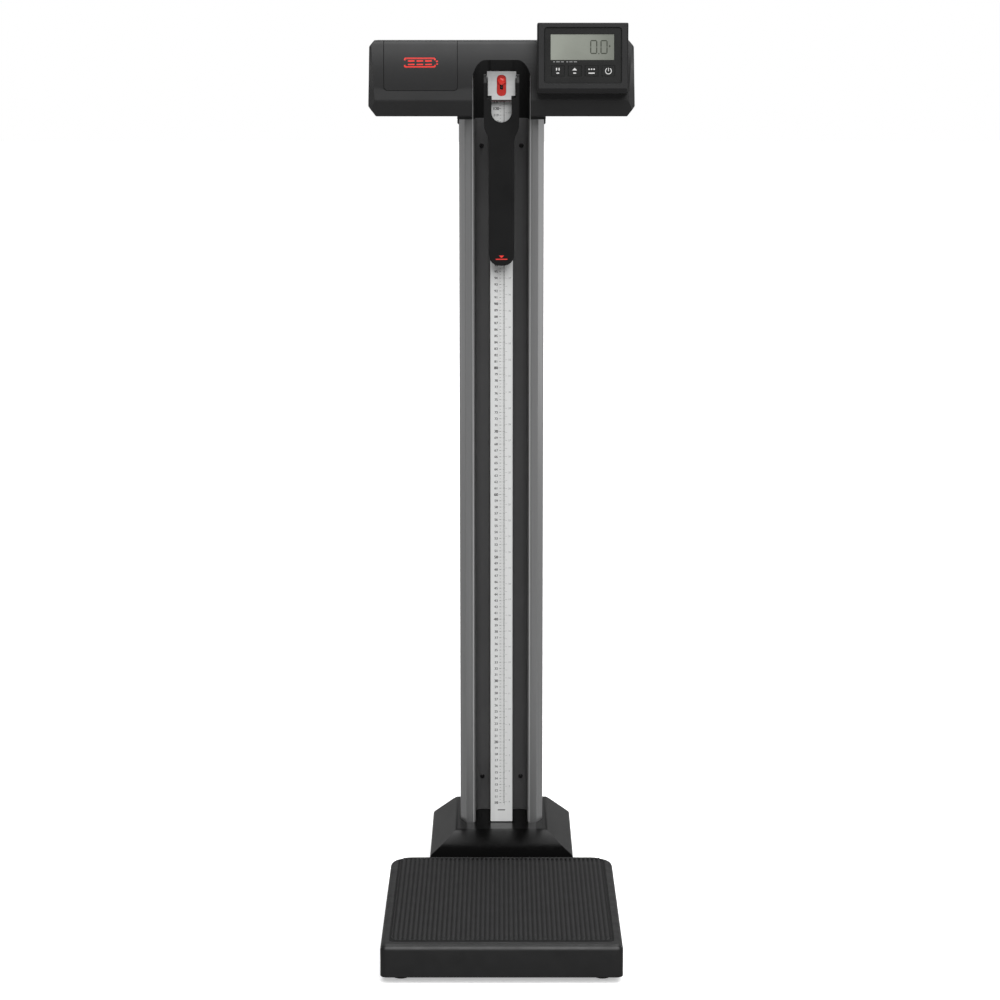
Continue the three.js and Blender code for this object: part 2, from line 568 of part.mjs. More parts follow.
function buildHead() {
  const { bottom, top, front, rear, wall, split, half } = HEAD;
  const inner = headEnvelope(wall);
  const shell = cut(headEnvelope(0), inner);
  const bridge = common(headEnvelope(0), box(-47.3, 47.3, front - 1, front + ARCH.bridge, 1250, top + 1));
  const roofBottom = COLUMN.top + 1.3;
  const cheeks = mirroredBoxes(ARCH.half, ARCH.half + wall, front + 13, COLUMN.front - 0.6, bottom + 1, top - 1);
  const frontWalls = mirroredBoxes(ARCH.half, ARCH.half + wall, front + 8, front + 14, HEAD.sill, top - 3);
  const duct = cut(
    box(-ARCH.half - wall, ARCH.half + wall, COLUMN.front - 2, CHANNEL.back + wall, roofBottom, top - 1),
    box(-ARCH.half, ARCH.half, COLUMN.front - 3, CHANNEL.back, roofBottom - 1, top),
  );
  const collar = alongZ(
    [[-COLLAR.half, COLLAR.front, 4], [COLLAR.half, COLLAR.front, 4], [COLLAR.half, COLLAR.rear, 8], [-COLLAR.half, COLLAR.rear, 8]],
    COLLAR.bottom, bottom + wall,
  );
  const columnWay = box(-COLUMN.half - 0.5, COLUMN.half + 0.5, COLUMN.front - 0.5, COLUMN.rear + 0.5, 1190, roofBottom);
  const chimney = box(-ARCH.half, ARCH.half, front + ARCH.bridge, COLUMN.front + 1, 1190, top + 1);
  const upperWay = box(-ARCH.half, ARCH.half, COLUMN.front, CHANNEL.back, roofBottom - 0.2, top + 1);
  const cableWay = pinY(CABLE.sideX, CABLE.topZ, CABLE.radius + 1.2, front - 2, front + 12);
  const whole = cut(
    join(shell, bridge, ...cheeks, ...frontWalls, duct, collar),
    columnWay, chimney, upperWay, archOpening(), cableWay,
  );
  const frontHalf = box(-half - 1, half + 1, front - 2, split, 1190, top + 2);
  const rearHalf = box(-half - 1, half + 1, split + GAP, rear + 2, 1190, top + 2);
  const inletWay = postZ(INLET.x, INLET.y, INLET.radius + 0.3, bottom - 1, bottom + wall + 1);
  add('head_front', cut(common(whole, frontHalf), doorRegion(0)), materials.darkShell);
  add('head_rear', cut(common(whole, rearHalf), inletWay), materials.darkShell);
  add('battery_cover', common(shell, doorRegion(DOOR.gap)), materials.darkShell);

  const inlet = cut(
    postZ(INLET.x, INLET.y, INLET.radius, bottom + 0.4, bottom + INLET.length),
    postZ(INLET.x, INLET.y, INLET.bore, bottom - 1, bottom + INLET.length - 3),
  );
  add('dc_socket', inlet, materials.glossBlack);
}

function buildBatteryTray() {
  const { left, right, front: trayFront, back, bottom, top, wall } = TRAY;
  const room = box(left + wall, right - wall, trayFront - 1, back - wall, bottom + wall, top + 1);
  add('battery_tray', cut(box(left, right, trayFront, back, bottom, top), room), materials.liner);
}

function buildSideScrews() {
  for (const [side, sign] of Object.entries(sides)) {
    const inner = COLUMN.half + 0.3;
    const outer = COLUMN.half + 3;
    const head = pinX(232, 1196, 4.2, sign > 0 ? inner : -outer, sign > 0 ? outer : -inner, 20);
    add(`head_screw_${side}`, head, materials.glossBlack);
  }
}

// ---- Display, built upright and then leaned back to lie on the head's front face ----
function buildDisplay() {
  const display = new THREE.Group();
  const slope = HEAD.lean / (HEAD.top - HEAD.sill);
  const seatY = HEAD.front + slope * (DISPLAY.bottom - HEAD.sill) - 0.6;
  display.position.set(DISPLAY.centre, seatY, DISPLAY.bottom);
  display.rotation.x = -Math.atan(slope);
  part.add(display);

  const { width, height, depth, wall, corner } = DISPLAY;
  const side = width / 2;
  const backPlate = 2;
  const panelFront = PANEL.recess - depth;
  const panelBack = panelFront + PANEL.thickness;
  const outer = alongY(roundedRectangle(-side, side, 0, height, corner), -depth, -backPlate - GAP);
  const room = alongY(roundedRectangle(wall - side, side - wall, wall, height - wall, corner), panelBack + GAP, 0);
  const recess = alongY(roundedRectangle(PANEL.left, PANEL.right, PANEL.bottom, PANEL.top, PANEL.corner), -depth - 1, 0);
  add('display_housing', cut(outer, room, recess), materials.darkShell, display);

  const plate = alongY(roundedRectangle(-side, side, 0, height, corner), -backPlate, 0);
  const cableHole = pinY(CABLE.sideX - DISPLAY.centre, CABLE.topZ - DISPLAY.bottom, CABLE.radius + 1.5, -backPlate - 1, 1);
  add('display_back', cut(plate, cableHole), materials.darkShell, display);

  const keyBox = (index, grow, y0, y1) => {
    const x = KEY.firstX + index * KEY.pitch;
    const reachX = KEY.width / 2 + grow;
    const reachZ = KEY.height / 2 + grow;
    return box(x - reachX, x + reachX, y0, y1, KEY.z - reachZ, KEY.z + reachZ);
  };
  const panelOutline = roundedRectangle(PANEL.left + GAP, PANEL.right - GAP, PANEL.bottom + GAP, PANEL.top - GAP, PANEL.corner);
  const keyHoles = [0, 1, 2, 3].map((index) => keyBox(index, KEY.gap, -depth, 0));
  const lcdHole = box(LCD.left, LCD.right, -depth, 0, LCD.bottom, LCD.top);
  add('display_panel', cut(alongY(panelOutline, panelFront, panelBack), lcdHole, ...keyHoles), materials.glossBlack, display);
  add('lcd', box(LCD.left + GAP, LCD.right - GAP, panelFront + 0.8, panelFront + 0.8 + LCD.thickness, LCD.bottom + GAP, LCD.top - GAP),
    materials.lcd, display);
  ['hold', 'tare', 'mode', 'power'].forEach((name, index) => {
    add(`key_${name}`, keyBox(index, 0, panelFront - 0.1, panelFront - 0.1 + KEY.thickness), materials.glossBlack, display);
  });
  add('main_board', box(wall + 4 - side, side - wall - 4, -16, -14.4, 9, height - 9), materials.board, display);
}

// ---- Electrics in the base and the lead that runs up inside the column ----
function buildLead() {
  add('junction_board', box(-10, 50, 10, 52, BASE.top + 2.6, BASE.top + 4.2), materials.board);
  const { radius, x, floorZ, ductY, topZ, sideX, bend } = CABLE;
  const boardTop = new THREE.Vector3(sideX, 144, topZ);
  const route = [
    new THREE.Vector3(x, 40, floorZ), new THREE.Vector3(x, ductY, floorZ), new THREE.Vector3(x, ductY, topZ),
    new THREE.Vector3(sideX, ductY, topZ), boardTop,
  ];
  const pieces = [];
  let start = route[0];
  route.slice(1).forEach((corner, index) => {
    const next = route[index + 2];
    const direction = corner.clone().sub(start).normalize();
    const end = next ? corner.clone().addScaledVector(direction, -bend) : corner;
    const length = start.distanceTo(end) + (next ? 0.4 : 0);
    const straight = new THREE.CylinderGeometry(radius, radius, length, 8).translate(0, length / 2, 0);
    straight.applyQuaternion(new THREE.Quaternion().setFromUnitVectors(new THREE.Vector3(0, 1, 0), direction));
    pieces.push(straight.translate(start.x, start.y, start.z));
    if (!next) return;
    const onward = next.clone().sub(corner).normalize();
    const exit = corner.clone().addScaledVector(onward, bend);
    const elbow = new THREE.QuadraticBezierCurve3(end, corner, exit);
    const ring = new THREE.Shape().absarc(0, 0, radius, 0, 2 * Math.PI);
    pieces.push(new THREE.ExtrudeGeometry(ring, { steps: 5, curveSegments: 4, extrudePath: elbow, bevelEnabled: false }));
    start = exit.clone().addScaledVector(onward, -0.4);
  });
  add('signal_lead', join(...pieces), materials.cable);
}

buildBase();
buildLoadCells();
buildLoadCarrier();
buildFeet();
buildWheels();
buildPlatform();
buildColumn();
buildLiner();
buildColumnFoot();
buildShroud();
buildRule();
buildRod();
buildCarriage();
buildHeadpiecePlate();
buildLockButton();
buildTongue();
buildHead();
buildBatteryTray();
buildSideScrews();
buildDisplay();
buildLead();

export default part;
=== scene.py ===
import json
import math

import bpy
import bmesh
import numpy as np
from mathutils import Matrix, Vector


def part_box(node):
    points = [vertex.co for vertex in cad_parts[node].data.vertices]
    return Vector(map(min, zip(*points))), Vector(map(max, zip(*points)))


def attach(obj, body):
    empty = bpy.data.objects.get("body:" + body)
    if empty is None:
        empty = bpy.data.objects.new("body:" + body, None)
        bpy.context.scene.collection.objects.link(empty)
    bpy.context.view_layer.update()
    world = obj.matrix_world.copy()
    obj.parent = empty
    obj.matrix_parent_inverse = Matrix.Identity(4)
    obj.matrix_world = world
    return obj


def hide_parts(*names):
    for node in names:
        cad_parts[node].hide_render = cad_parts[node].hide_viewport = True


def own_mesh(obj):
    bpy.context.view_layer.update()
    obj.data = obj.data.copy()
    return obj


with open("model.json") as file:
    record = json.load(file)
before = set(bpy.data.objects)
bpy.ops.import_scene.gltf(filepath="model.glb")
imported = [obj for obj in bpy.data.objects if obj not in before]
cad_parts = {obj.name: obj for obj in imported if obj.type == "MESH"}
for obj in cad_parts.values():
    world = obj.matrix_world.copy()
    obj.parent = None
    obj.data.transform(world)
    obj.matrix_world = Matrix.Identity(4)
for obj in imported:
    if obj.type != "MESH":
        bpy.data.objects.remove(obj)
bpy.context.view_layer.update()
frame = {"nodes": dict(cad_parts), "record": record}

bl_info = {
    "name": "Column Weighing Scale",
    "version": (1, 0, 0),
    "blender": (4, 5, 0),
    "location": "3D View > Sidebar > Column Scale",
    "description": "Finishes a column weighing scale with height rod around its packed solids",
    "category": "Add Mesh",
}

MM = 0.001
PLACES = ("front_left", "front_right", "rear_left", "rear_right")
SIDES = ("left", "right")


# ---------------------------------------------------------------- settings

class ScaleSizes(bpy.types.PropertyGroup):
    rib_pitch: bpy.props.FloatProperty(
        name="Rib pitch", description="Distance between two ribs of the mat", default=0.0069, unit="LENGTH")
    rib_height: bpy.props.FloatProperty(
        name="Rib height", description="Height of a rib over the mat's valleys",
        default=0.0013, unit="LENGTH")
    mat_gap: bpy.props.FloatProperty(
        name="Mat gap", description="Open line between the mat's front and its seat",
        default=0.0075, unit="LENGTH")
    platform_edge: bpy.props.FloatProperty(
        name="Platform edge", description="Radius of the platform's upper edge", default=0.008, unit="LENGTH")
    shell_edge: bpy.props.FloatProperty(
        name="Shell edge", description="Width of the rounded edges of moulded shells",
        default=0.0010, unit="LENGTH")
    metal_edge: bpy.props.FloatProperty(
        name="Metal edge", description="Width of the broken edges of metal pieces",
        default=0.0004, unit="LENGTH")
    print_height: bpy.props.FloatProperty(
        name="Ink height", description="How far printed marks stand on their face",
        default=0.00006, unit="LENGTH")
    figure_height: bpy.props.FloatProperty(
        name="Figure height", description="Height of the rule's printed figures",
        default=0.0040, unit="LENGTH")
    bevel_steps: bpy.props.IntProperty(
        name="Edge steps", description="Facets across a rounded edge", default=3, min=1, max=6)


class ScaleFinishes(bpy.types.PropertyGroup):
    head: bpy.props.FloatVectorProperty(
        name="Head", description="Charcoal moulding of the head", subtype="COLOR",
        default=(0.025, 0.025, 0.0255))
    display: bpy.props.FloatVectorProperty(
        name="Display box", description="Charcoal moulding of the display", subtype="COLOR",
        default=(0.020, 0.020, 0.0205))
    panel: bpy.props.FloatVectorProperty(
        name="Panel film", description="Dark film round the LCD", subtype="COLOR",
        default=(0.0115, 0.0117, 0.0115))
    tongue: bpy.props.FloatVectorProperty(
        name="Tongue", description="Black moulding of the measuring tongue", subtype="COLOR",
        default=(0.003, 0.003, 0.0032))
    platform: bpy.props.FloatVectorProperty(
        name="Platform", description="Powder coat of the platform cover", subtype="COLOR",
        default=(0.0042, 0.0042, 0.0044))
    mat: bpy.props.FloatVectorProperty(
        name="Mat", description="Ribbed rubber mat", subtype="COLOR", default=(0.0135, 0.0135, 0.014))
    shroud: bpy.props.FloatVectorProperty(
        name="Shroud", description="Satin black foot shroud", subtype="COLOR",
        default=(0.0035, 0.0035, 0.0036))
    column: bpy.props.FloatVectorProperty(
        name="Column", description="Anodised column", subtype="COLOR", default=(0.315, 0.316, 0.318))
    liner: bpy.props.FloatVectorProperty(
        name="Channel liner", description="Dark section in the column's groove", subtype="COLOR",
        default=(0.14, 0.14, 0.141))
    rule: bpy.props.FloatVectorProperty(
        name="Rule", description="Light anodised rule", subtype="COLOR", default=(0.745, 0.75, 0.745))
    signal_red: bpy.props.FloatVectorProperty(
        name="Signal red", description="Red of the button and the marks", subtype="COLOR",
        default=(1.0, 0.042, 0.030))
    lcd: bpy.props.FloatVectorProperty(
        name="LCD", description="Grey-green reflector of the LCD", subtype="COLOR",
        default=(0.26, 0.274, 0.238))


def sizes():
    return bpy.context.scene.scale_sizes


def colours():
    return bpy.context.scene.scale_finishes


# ---------------------------------------------------------------- outlines and surfaces

def unit(vectors):
    """Each vector divided by its own length."""
    return vectors / np.maximum(np.linalg.norm(vectors, axis=-1, keepdims=True), 1e-12)


def rounded_outline(corners, steps=6):
    """A closed outline through corners (a, b, radius). Each corner is an arc that touches both of its
    sides, walked at even angles by blending its two end spokes with the sines of the angle's shares."""
    corners = np.array(corners, float)
    share = np.linspace(0, 1, steps + 1)[:, None]
    stretches = []
    for index, (a, b, radius) in enumerate(corners):
        here = np.array((a, b))
        to_last = unit(corners[index - 1][:2] - here)
        to_next = unit(corners[(index + 1) % len(corners)][:2] - here)
        if radius <= 0:
            stretches.append(here[None])
            continue
        half = np.arccos(np.clip(to_last @ to_next, -1, 1)) / 2
        centre = here + unit(to_last + to_next) * radius / np.sin(half)
        start = here + to_last * radius / np.tan(half) - centre
        end = here + to_next * radius / np.tan(half) - centre
        sweep = np.pi - 2 * half
        arc = (np.sin((1 - share) * sweep) * start + np.sin(share * sweep) * end) / np.sin(sweep)
        stretches.append(centre + arc)
    return np.concatenate(stretches)


def rounded_rectangle(x0, x1, z0, z1, radius, steps=6):
    return rounded_outline([(x0, z0, radius), (x1, z0, radius), (x1, z1, radius), (x0, z1, radius)], steps)


def stations(outline, spacing):
    """Where extra points go so that no side is longer than the spacing: for each point, the side that
    it lies on and its share of the way along that side."""
    sides = np.roll(outline, -1, axis=0) - outline
    counts = np.maximum(np.ceil(np.linalg.norm(sides, axis=1) / spacing).astype(int), 1)
    owner = np.repeat(np.arange(len(outline)), counts)
    first = np.repeat(np.cumsum(counts) - counts, counts)
    share = (np.arange(len(owner)) - first) / np.repeat(counts, counts)
    return owner, share


def at_stations(outline, owner, share):
    """The outline's points at stations given as a side and a share of the way along it."""
    sides = np.roll(outline, -1, axis=0) - outline
    return outline[owner] + sides[owner] * share[:, None]


def inset(outline, distance):
    """Each point of a counter-clockwise outline moved inward along the bisector of its two sides, so
    far that both sides move in by the distance."""
    before = unit(outline - np.roll(outline, 1, axis=0))
    after = unit(np.roll(outline, -1, axis=0) - outline)
    inward_before = np.stack([-before[:, 1], before[:, 0]], 1)
    inward_after = np.stack([-after[:, 1], after[:, 0]], 1)
    bisector = unit(inward_before + inward_after)
    reach = distance / np.maximum((bisector * inward_after).sum(1), 0.35)
    return outline + bisector * reach[:, None]


def slab_sections(outline, low, high, edge, steps=4):
    """Sections of a slab from low to high whose rim is rounded: at each quarter-circle angle the
    outline moves in by edge times one minus the cosine, at a height of edge times one minus the sine."""
    angles = np.linspace(np.pi / 2, 0, steps + 1)
    insets = edge * (1 - np.cos(angles))
    lifts = edge * (1 - np.sin(angles))
    rows = [(i, low + h) for i, h in zip(insets, lifts)]
    rows += [(i, high - h) for i, h in zip(insets[::-1], lifts[::-1])]
    return np.stack([np.column_stack([inset(outline, i), np.full(len(outline), h)]) for i, h in rows])


def mesh_from(name, vertices, faces, smooth_angle=35):
    """A mesh from arrays, with its faces turned outward and its sharp edges marked by angle."""
    mesh = bpy.data.meshes.new(name)
    mesh.from_pydata(np.asarray(vertices, float).tolist(), [], faces)
    work = bmesh.new()
    work.from_mesh(mesh)
    bmesh.ops.remove_doubles(work, verts=work.verts, dist=1e-6)
    bmesh.ops.recalc_face_normals(work, faces=work.faces)
    work.to_mesh(mesh)
    work.free()
    mesh.shade_smooth()
    mesh.set_sharp_from_angle(angle=math.radians(smooth_angle))
    return mesh


def ring_faces(count, ring, caps=True, closed_path=False):
    """Quads between neighbouring closed rings, and a cap on the first and the last."""
    index = np.arange(count * ring).reshape(count, ring)
    lower = index if closed_path else index[:-1]
    upper = np.roll(index, -1, axis=0) if closed_path else index[1:]
    quads = np.stack([lower, np.roll(lower, -1, axis=1), np.roll(upper, -1, axis=1), upper], axis=-1)
    faces = quads.reshape(-1, 4).tolist()
    if caps and not closed_path:
        faces += [index[0][::-1].tolist(), index[-1].tolist()]
    return faces


def loft(name, sections, smooth_angle=35, closed_path=False):
    """A closed skin through closed sections, each with the same number of points."""
    count, ring, _ = sections.shape
    faces = ring_faces(count, ring, closed_path=closed_path)
    return mesh_from(name, sections.reshape(-1, 3), faces, smooth_angle)


def turned(profile, centre, axis, facets=40):
    """Sections of a turned piece: profile holds (radius, station) pairs along the axis through the
    centre, and each is a circle of even angles."""
    profile = np.array(profile, float)
    angle = np.linspace(0, 2 * np.pi, facets, endpoint=False)
    axis = unit(np.array(axis, float))
    across = unit(np.cross(axis, (0.31, 0.83, 0.47)))
    beside = np.cross(axis, across)
    spoke = np.cos(angle)[:, None] * across + np.sin(angle)[:, None] * beside
    return np.array(centre) + profile[:, 0, None, None] * spoke + profile[:, 1, None, None] * axis


def tube_sections(path, radius, facets=12):
    """Circles carried along a path: each stands square to the path's tangent, and its sideways spoke
    is the tangent crossed with a fixed direction that the path never takes."""
    path = np.asarray(path, float)
    tangent = unit(np.gradient(path, axis=0))
    side = unit(np.cross(tangent, (0.577, 0.211, 0.789)))
    other = np.cross(tangent, side)
    angle = np.linspace(0, 2 * np.pi, facets, endpoint=False)[None, :, None]
    return path[:, None] + radius * (np.cos(angle) * side[:, None] + np.sin(angle) * other[:, None])


def blocks(low, high):
    """Vertices and faces of many boxes at once from arrays of their low and high corners."""
    low, high = np.atleast_2d(low), np.atleast_2d(high)
    pick = np.array([(0, 0, 0), (1, 0, 0), (1, 1, 0), (0, 1, 0), (0, 0, 1), (1, 0, 1), (1, 1, 1), (0, 1, 1)])
    vertices = low[:, None] + pick * (high - low)[:, None]
    sides = np.array([(0, 3, 2, 1), (4, 5, 6, 7), (0, 1, 5, 4), (1, 2, 6, 5), (2, 3, 7, 6), (3, 0, 4, 7)])
    faces = sides[None] + 8 * np.arange(len(low))[:, None, None]
    return vertices.reshape(-1, 3), faces.reshape(-1, 4).tolist()


def stacked(parts):
    """One vertex array and one face list out of several."""
    vertices, faces, start = [], [], 0
    for points, polygons in parts:
        vertices.append(points)
        faces += [[corner + start for corner in polygon] for polygon in polygons]
        start += len(points)
    return np.concatenate(vertices), faces


# ---------------------------------------------------------------- placing pieces

def place(mesh, finish, body, slot, *replaced):
    """Links a mesh as a piece of its own name, gives it its finish, and lets it ride on its body."""
    piece = bpy.data.objects.new(mesh.name, mesh)
    bpy.context.scene.collection.objects.link(piece)
    mesh.materials.clear()
    mesh.materials.append(finish)
    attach(piece, body)
    if replaced:
        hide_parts(*replaced)
    return piece


def body_of_node(node):
    bodies = frame["record"]["behaviour"]["bodies"]
    return next(body for body, nodes in bodies.items() if node in nodes)


def slot_of_node(node):
    return next(row["material_slot"] for row in frame["record"]["subparts"] if row["node"] == node)


def softened(node, finish, width, name=None, angle=28, steps=None, shape=None):
    """A merged copy of a node with its flat faces joined up and its edges rounded by a bevel. A shape
    function may first bend the merged mesh."""
    mesh = frame["nodes"][node].data.copy()
    mesh.name = name or f"{node}_finished"
    work = bmesh.new()
    work.from_mesh(mesh)
    bmesh.ops.remove_doubles(work, verts=work.verts, dist=2e-6)
    bmesh.ops.dissolve_limit(work, angle_limit=math.radians(0.6), verts=work.verts, edges=work.edges)
    if shape:
        shape(work)
    work.to_mesh(mesh)
    work.free()
    mesh.shade_smooth()
    mesh.set_sharp_from_angle(angle=math.radians(angle))
    piece = place(mesh, finish, body_of_node(node), slot_of_node(node), node)
    bevel = piece.modifiers.new("Rounded edges", "BEVEL")
    bevel.width = width
    bevel.segments = steps or sizes().bevel_steps
    bevel.limit_method = "ANGLE"
    bevel.angle_limit = math.radians(angle)
    bevel.harden_normals = False
    bevel.use_clamp_overlap = True
    even = piece.modifiers.new("Even shading", "WEIGHTED_NORMAL")
    even.keep_sharp = False
    even.weight = 80
    return piece


def finish_node(node, finish):
    """Gives a carried-over node its finish."""
    mesh = frame["nodes"][node].data
    mesh.materials.clear()
    mesh.materials.append(finish)


def centre_of(node):
    low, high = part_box(node)
    return (np.array(low) + np.array(high)) / 2


def span_of(node):
    low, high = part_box(node)
    return np.array(low), np.array(high)


# ---------------------------------------------------------------- finishes

class Finish:
    """A material under construction: its shader, its node tree and the few links that patterns need."""

    def __init__(self, name, colour, roughness, metallic=0.0, specular=0.5):
        self.material = bpy.data.materials.new(name)
        self.material.use_nodes = True
        self.tree = self.material.node_tree
        self.shader = self.tree.nodes["Principled BSDF"]
        self.colour = tuple(colour) + (1.0,)
        self.shader.inputs["Base Color"].default_value = self.colour
        self.shader.inputs["Roughness"].default_value = roughness
        self.shader.inputs["Metallic"].default_value = metallic
        self.shader.inputs["Specular IOR Level"].default_value = specular
        self.roughness = roughness
        self.place = self.tree.nodes.new("ShaderNodeTexCoord").outputs["Object"]

    def node(self, kind, **values):
        made = self.tree.nodes.new(kind)
        for key, value in values.items():
            setattr(made, key, value)
        return made

    def link(self, output, socket):
        self.tree.links.new(output, socket)

    def noise(self, scale, detail=3.0, stretch=None):
        """Noise on object coordinates; stretch is a scale along each axis, for grain that runs one way."""
        source = self.place
        if stretch:
            mapping = self.node("ShaderNodeMapping")
            mapping.inputs["Scale"].default_value = stretch
            self.link(self.place, mapping.inputs["Vector"])
            source = mapping.outputs["Vector"]
        made = self.node("ShaderNodeTexNoise")
        made.inputs["Scale"].default_value = scale
        made.inputs["Detail"].default_value = detail
        self.link(source, made.inputs["Vector"])
        return made.outputs["Fac"]

    def ranged(self, fac, low, high, start=0.3, end=0.7):
        """The factor's middle band mapped to the range low to high."""
        made = self.node("ShaderNodeMapRange")
        made.inputs["From Min"].default_value = start
        made.inputs["From Max"].default_value = end
        made.inputs["To Min"].default_value = low
        made.inputs["To Max"].default_value = high
        self.link(fac, made.inputs["Value"])
        return made.outputs["Result"]

    def tint(self, fac, amount, socket="Base Color"):
        """Shades the colour up and down by the amount as the factor goes across its band."""
        ramp = self.node("ShaderNodeValToRGB")
        rgb = np.array(self.colour[:3])
        ramp.color_ramp.elements[0].position = 0.3
        ramp.color_ramp.elements[1].position = 0.7
        ramp.color_ramp.elements[0].color = tuple(rgb * (1 - amount)) + (1.0,)
        ramp.color_ramp.elements[1].color = tuple(np.minimum(rgb * (1 + amount), 1.0)) + (1.0,)
        self.link(fac, ramp.inputs["Fac"])
        self.link(ramp.outputs["Color"], self.shader.inputs[socket])

    def wear(self, fac, spread):
        """Roughness that wanders by the spread round its own value."""
        wandering = self.ranged(fac, self.roughness - spread, self.roughness + spread)
        self.link(wandering, self.shader.inputs["Roughness"])

    def relief(self, fac, depth, strength=1.0):
        """Surface relief of a depth in metres."""
        bump = self.node("ShaderNodeBump")
        bump.inputs["Strength"].default_value = strength
        bump.inputs["Distance"].default_value = depth
        self.link(fac, bump.inputs["Height"])
        self.link(bump.outputs["Normal"], self.shader.inputs["Normal"])


def moulded(name, colour, roughness=0.5, grain=1500, depth=0.00005, specular=0.32):
    """Moulded plastic: a spark-eroded grain, cloudy gloss and a slight drift of colour."""
    made = Finish(name, colour, roughness, specular=specular)
    made.relief(made.noise(grain, 2.0), depth, 0.6)
    made.wear(made.noise(22, 4.0), 0.05)
    made.tint(made.noise(9, 3.0), 0.05)
    return made.material


def drawn_metal(name, colour, roughness=0.34, stretch=(1.0, 1.0, 0.012), depth=0.000012, anisotropic=0.3,
                metallic=1.0):
    """Anodised or drawn metal: fine lines along the drawing direction and slow changes of tone."""
    made = Finish(name, colour, roughness, metallic=metallic)
    made.shader.inputs["Anisotropic"].default_value = anisotropic
    lines = made.noise(1400, 3.0, stretch)
    made.relief(lines, depth, 0.5)
    made.wear(made.noise(260, 4.0, stretch), 0.06)
    made.tint(made.noise(120, 3.0, stretch), 0.06)
    return made.material


def powder_coat(name, colour, roughness=0.5):
    """Powder coat: the soft pimples of orange peel with a fine speckle of gloss."""
    made = Finish(name, colour, roughness)
    made.relief(made.noise(750, 2.0), 0.00006, 0.5)
    made.wear(made.noise(60, 5.0), 0.06)
    made.tint(made.noise(14, 3.0), 0.06)
    return made.material


def rubber(name, colour, roughness=0.75):
    """Rubber: matte with a fine bloom and traces of dust."""
    made = Finish(name, colour, roughness, specular=0.35)
    made.relief(made.noise(1900, 3.0), 0.00005, 0.7)
    made.wear(made.noise(30, 5.0), 0.03)
    made.tint(made.noise(160, 5.0), 0.07)
    return made.material


def satin_black(name, colour, roughness=0.22):
    """Satin-gloss moulding: nearly smooth, with faint flow marks and hairline scuffs in the gloss."""
    made = Finish(name, colour, roughness, specular=0.18)
    made.relief(made.noise(420, 2.0), 0.00002, 0.4)
    made.wear(made.noise(45, 6.0, (1.0, 0.25, 1.0)), 0.04)
    made.tint(made.noise(8, 3.0), 0.06)
    return made.material


def plated(name, colour, roughness=0.25):
    """Plated steel: bright, with spangle in the gloss."""
    made = Finish(name, colour, roughness, metallic=1.0)
    made.wear(made.noise(300, 3.0), 0.07)
    made.tint(made.noise(160, 2.0), 0.07)
    made.relief(made.noise(900, 2.0), 0.00001, 0.4)
    return made.material


def ink(name, colour, roughness=0.55):
    """Printing ink: flat, with a slight unevenness from the screen."""
    made = Finish(name, colour, roughness)
    made.wear(made.noise(1500, 2.0), 0.08)
    made.tint(made.noise(500, 3.0), 0.12)
    return made.material


def red_enamel(name, colour, roughness=0.3):
    """Signal-red plastic: glossy, a little light goes in, with fine surface ripple."""
    made = Finish(name, colour, roughness)
    made.shader.inputs["Coat Weight"].default_value = 0.3
    made.relief(made.noise(700, 2.0), 0.00002, 0.4)
    made.wear(made.noise(120, 4.0), 0.06)
    made.tint(made.noise(40, 2.0), 0.06)
    return made.material


def reflective_lcd(name, colour):
    """LCD reflector: grey-green, with the ghost of its cell grid and a slow change of tone across it, which
    is painted shade: lighter at its left end, darker at its right.
    """
    made = Finish(name, colour, 0.3, specular=0.4)
    made.shader.inputs["Coat Weight"].default_value = 0.35
    made.shader.inputs["Coat Roughness"].default_value = 0.08
    separate = made.node("ShaderNodeSeparateXYZ")
    made.link(made.place, separate.inputs["Vector"])
    low, high = span_of("lcd")
    # painted shade: the tone falls from the LCD's left end to its right
    across = made.ranged(separate.outputs["X"], 0.74, 0.26, low[0], high[0])
    cloud = made.ranged(made.noise(26, 3.0), -0.07, 0.07)
    total = made.node("ShaderNodeMath", operation="ADD")
    made.link(across, total.inputs[0])
    made.link(cloud, total.inputs[1])
    made.tint(total.outputs["Value"], 0.22)
    made.relief(made.noise(2600, 1.0), 0.00001, 0.4)
    return made.material


def circuit_board(name, colour):
    """Solder mask with the ghost of its tracks."""
    made = Finish(name, colour, 0.35)
    tracks = made.node("ShaderNodeTexVoronoi", feature="DISTANCE_TO_EDGE")
    tracks.inputs["Scale"].default_value = 420
    made.link(made.place, tracks.inputs["Vector"])
    fac = made.ranged(tracks.outputs["Distance"], 1.0, 0.0, 0.0, 0.16)
    made.tint(fac, 0.35)
    made.relief(fac, 0.00004, 0.5)
    return made.material


def painted_floor():
    """Plain pale studio floor, lit a little from below; it sheds only a grey light back on the object."""
    made = Finish("studio_floor", (0.93, 0.93, 0.93), 0.85, specular=0.1)
    made.tint(made.noise(3, 2.0), 0.003)
    made.shader.inputs["Emission Color"].default_value = (1.0, 1.0, 1.0, 1.0)
    made.shader.inputs["Emission Strength"].default_value = 0.42
    shed = made.node("ShaderNodeBsdfDiffuse")
    shed.inputs["Color"].default_value = (0.30, 0.30, 0.30, 1.0)
    path = made.node("ShaderNodeLightPath")
    either = made.node("ShaderNodeMixShader")
    made.link(path.outputs["Is Camera Ray"], either.inputs["Fac"])
    made.link(shed.outputs["BSDF"], either.inputs[1])
    made.link(made.shader.outputs["BSDF"], either.inputs[2])
    made.link(either.outputs["Shader"], made.tree.nodes["Material Output"].inputs["Surface"])
    return made.material


# ---------------------------------------------------------------- stage

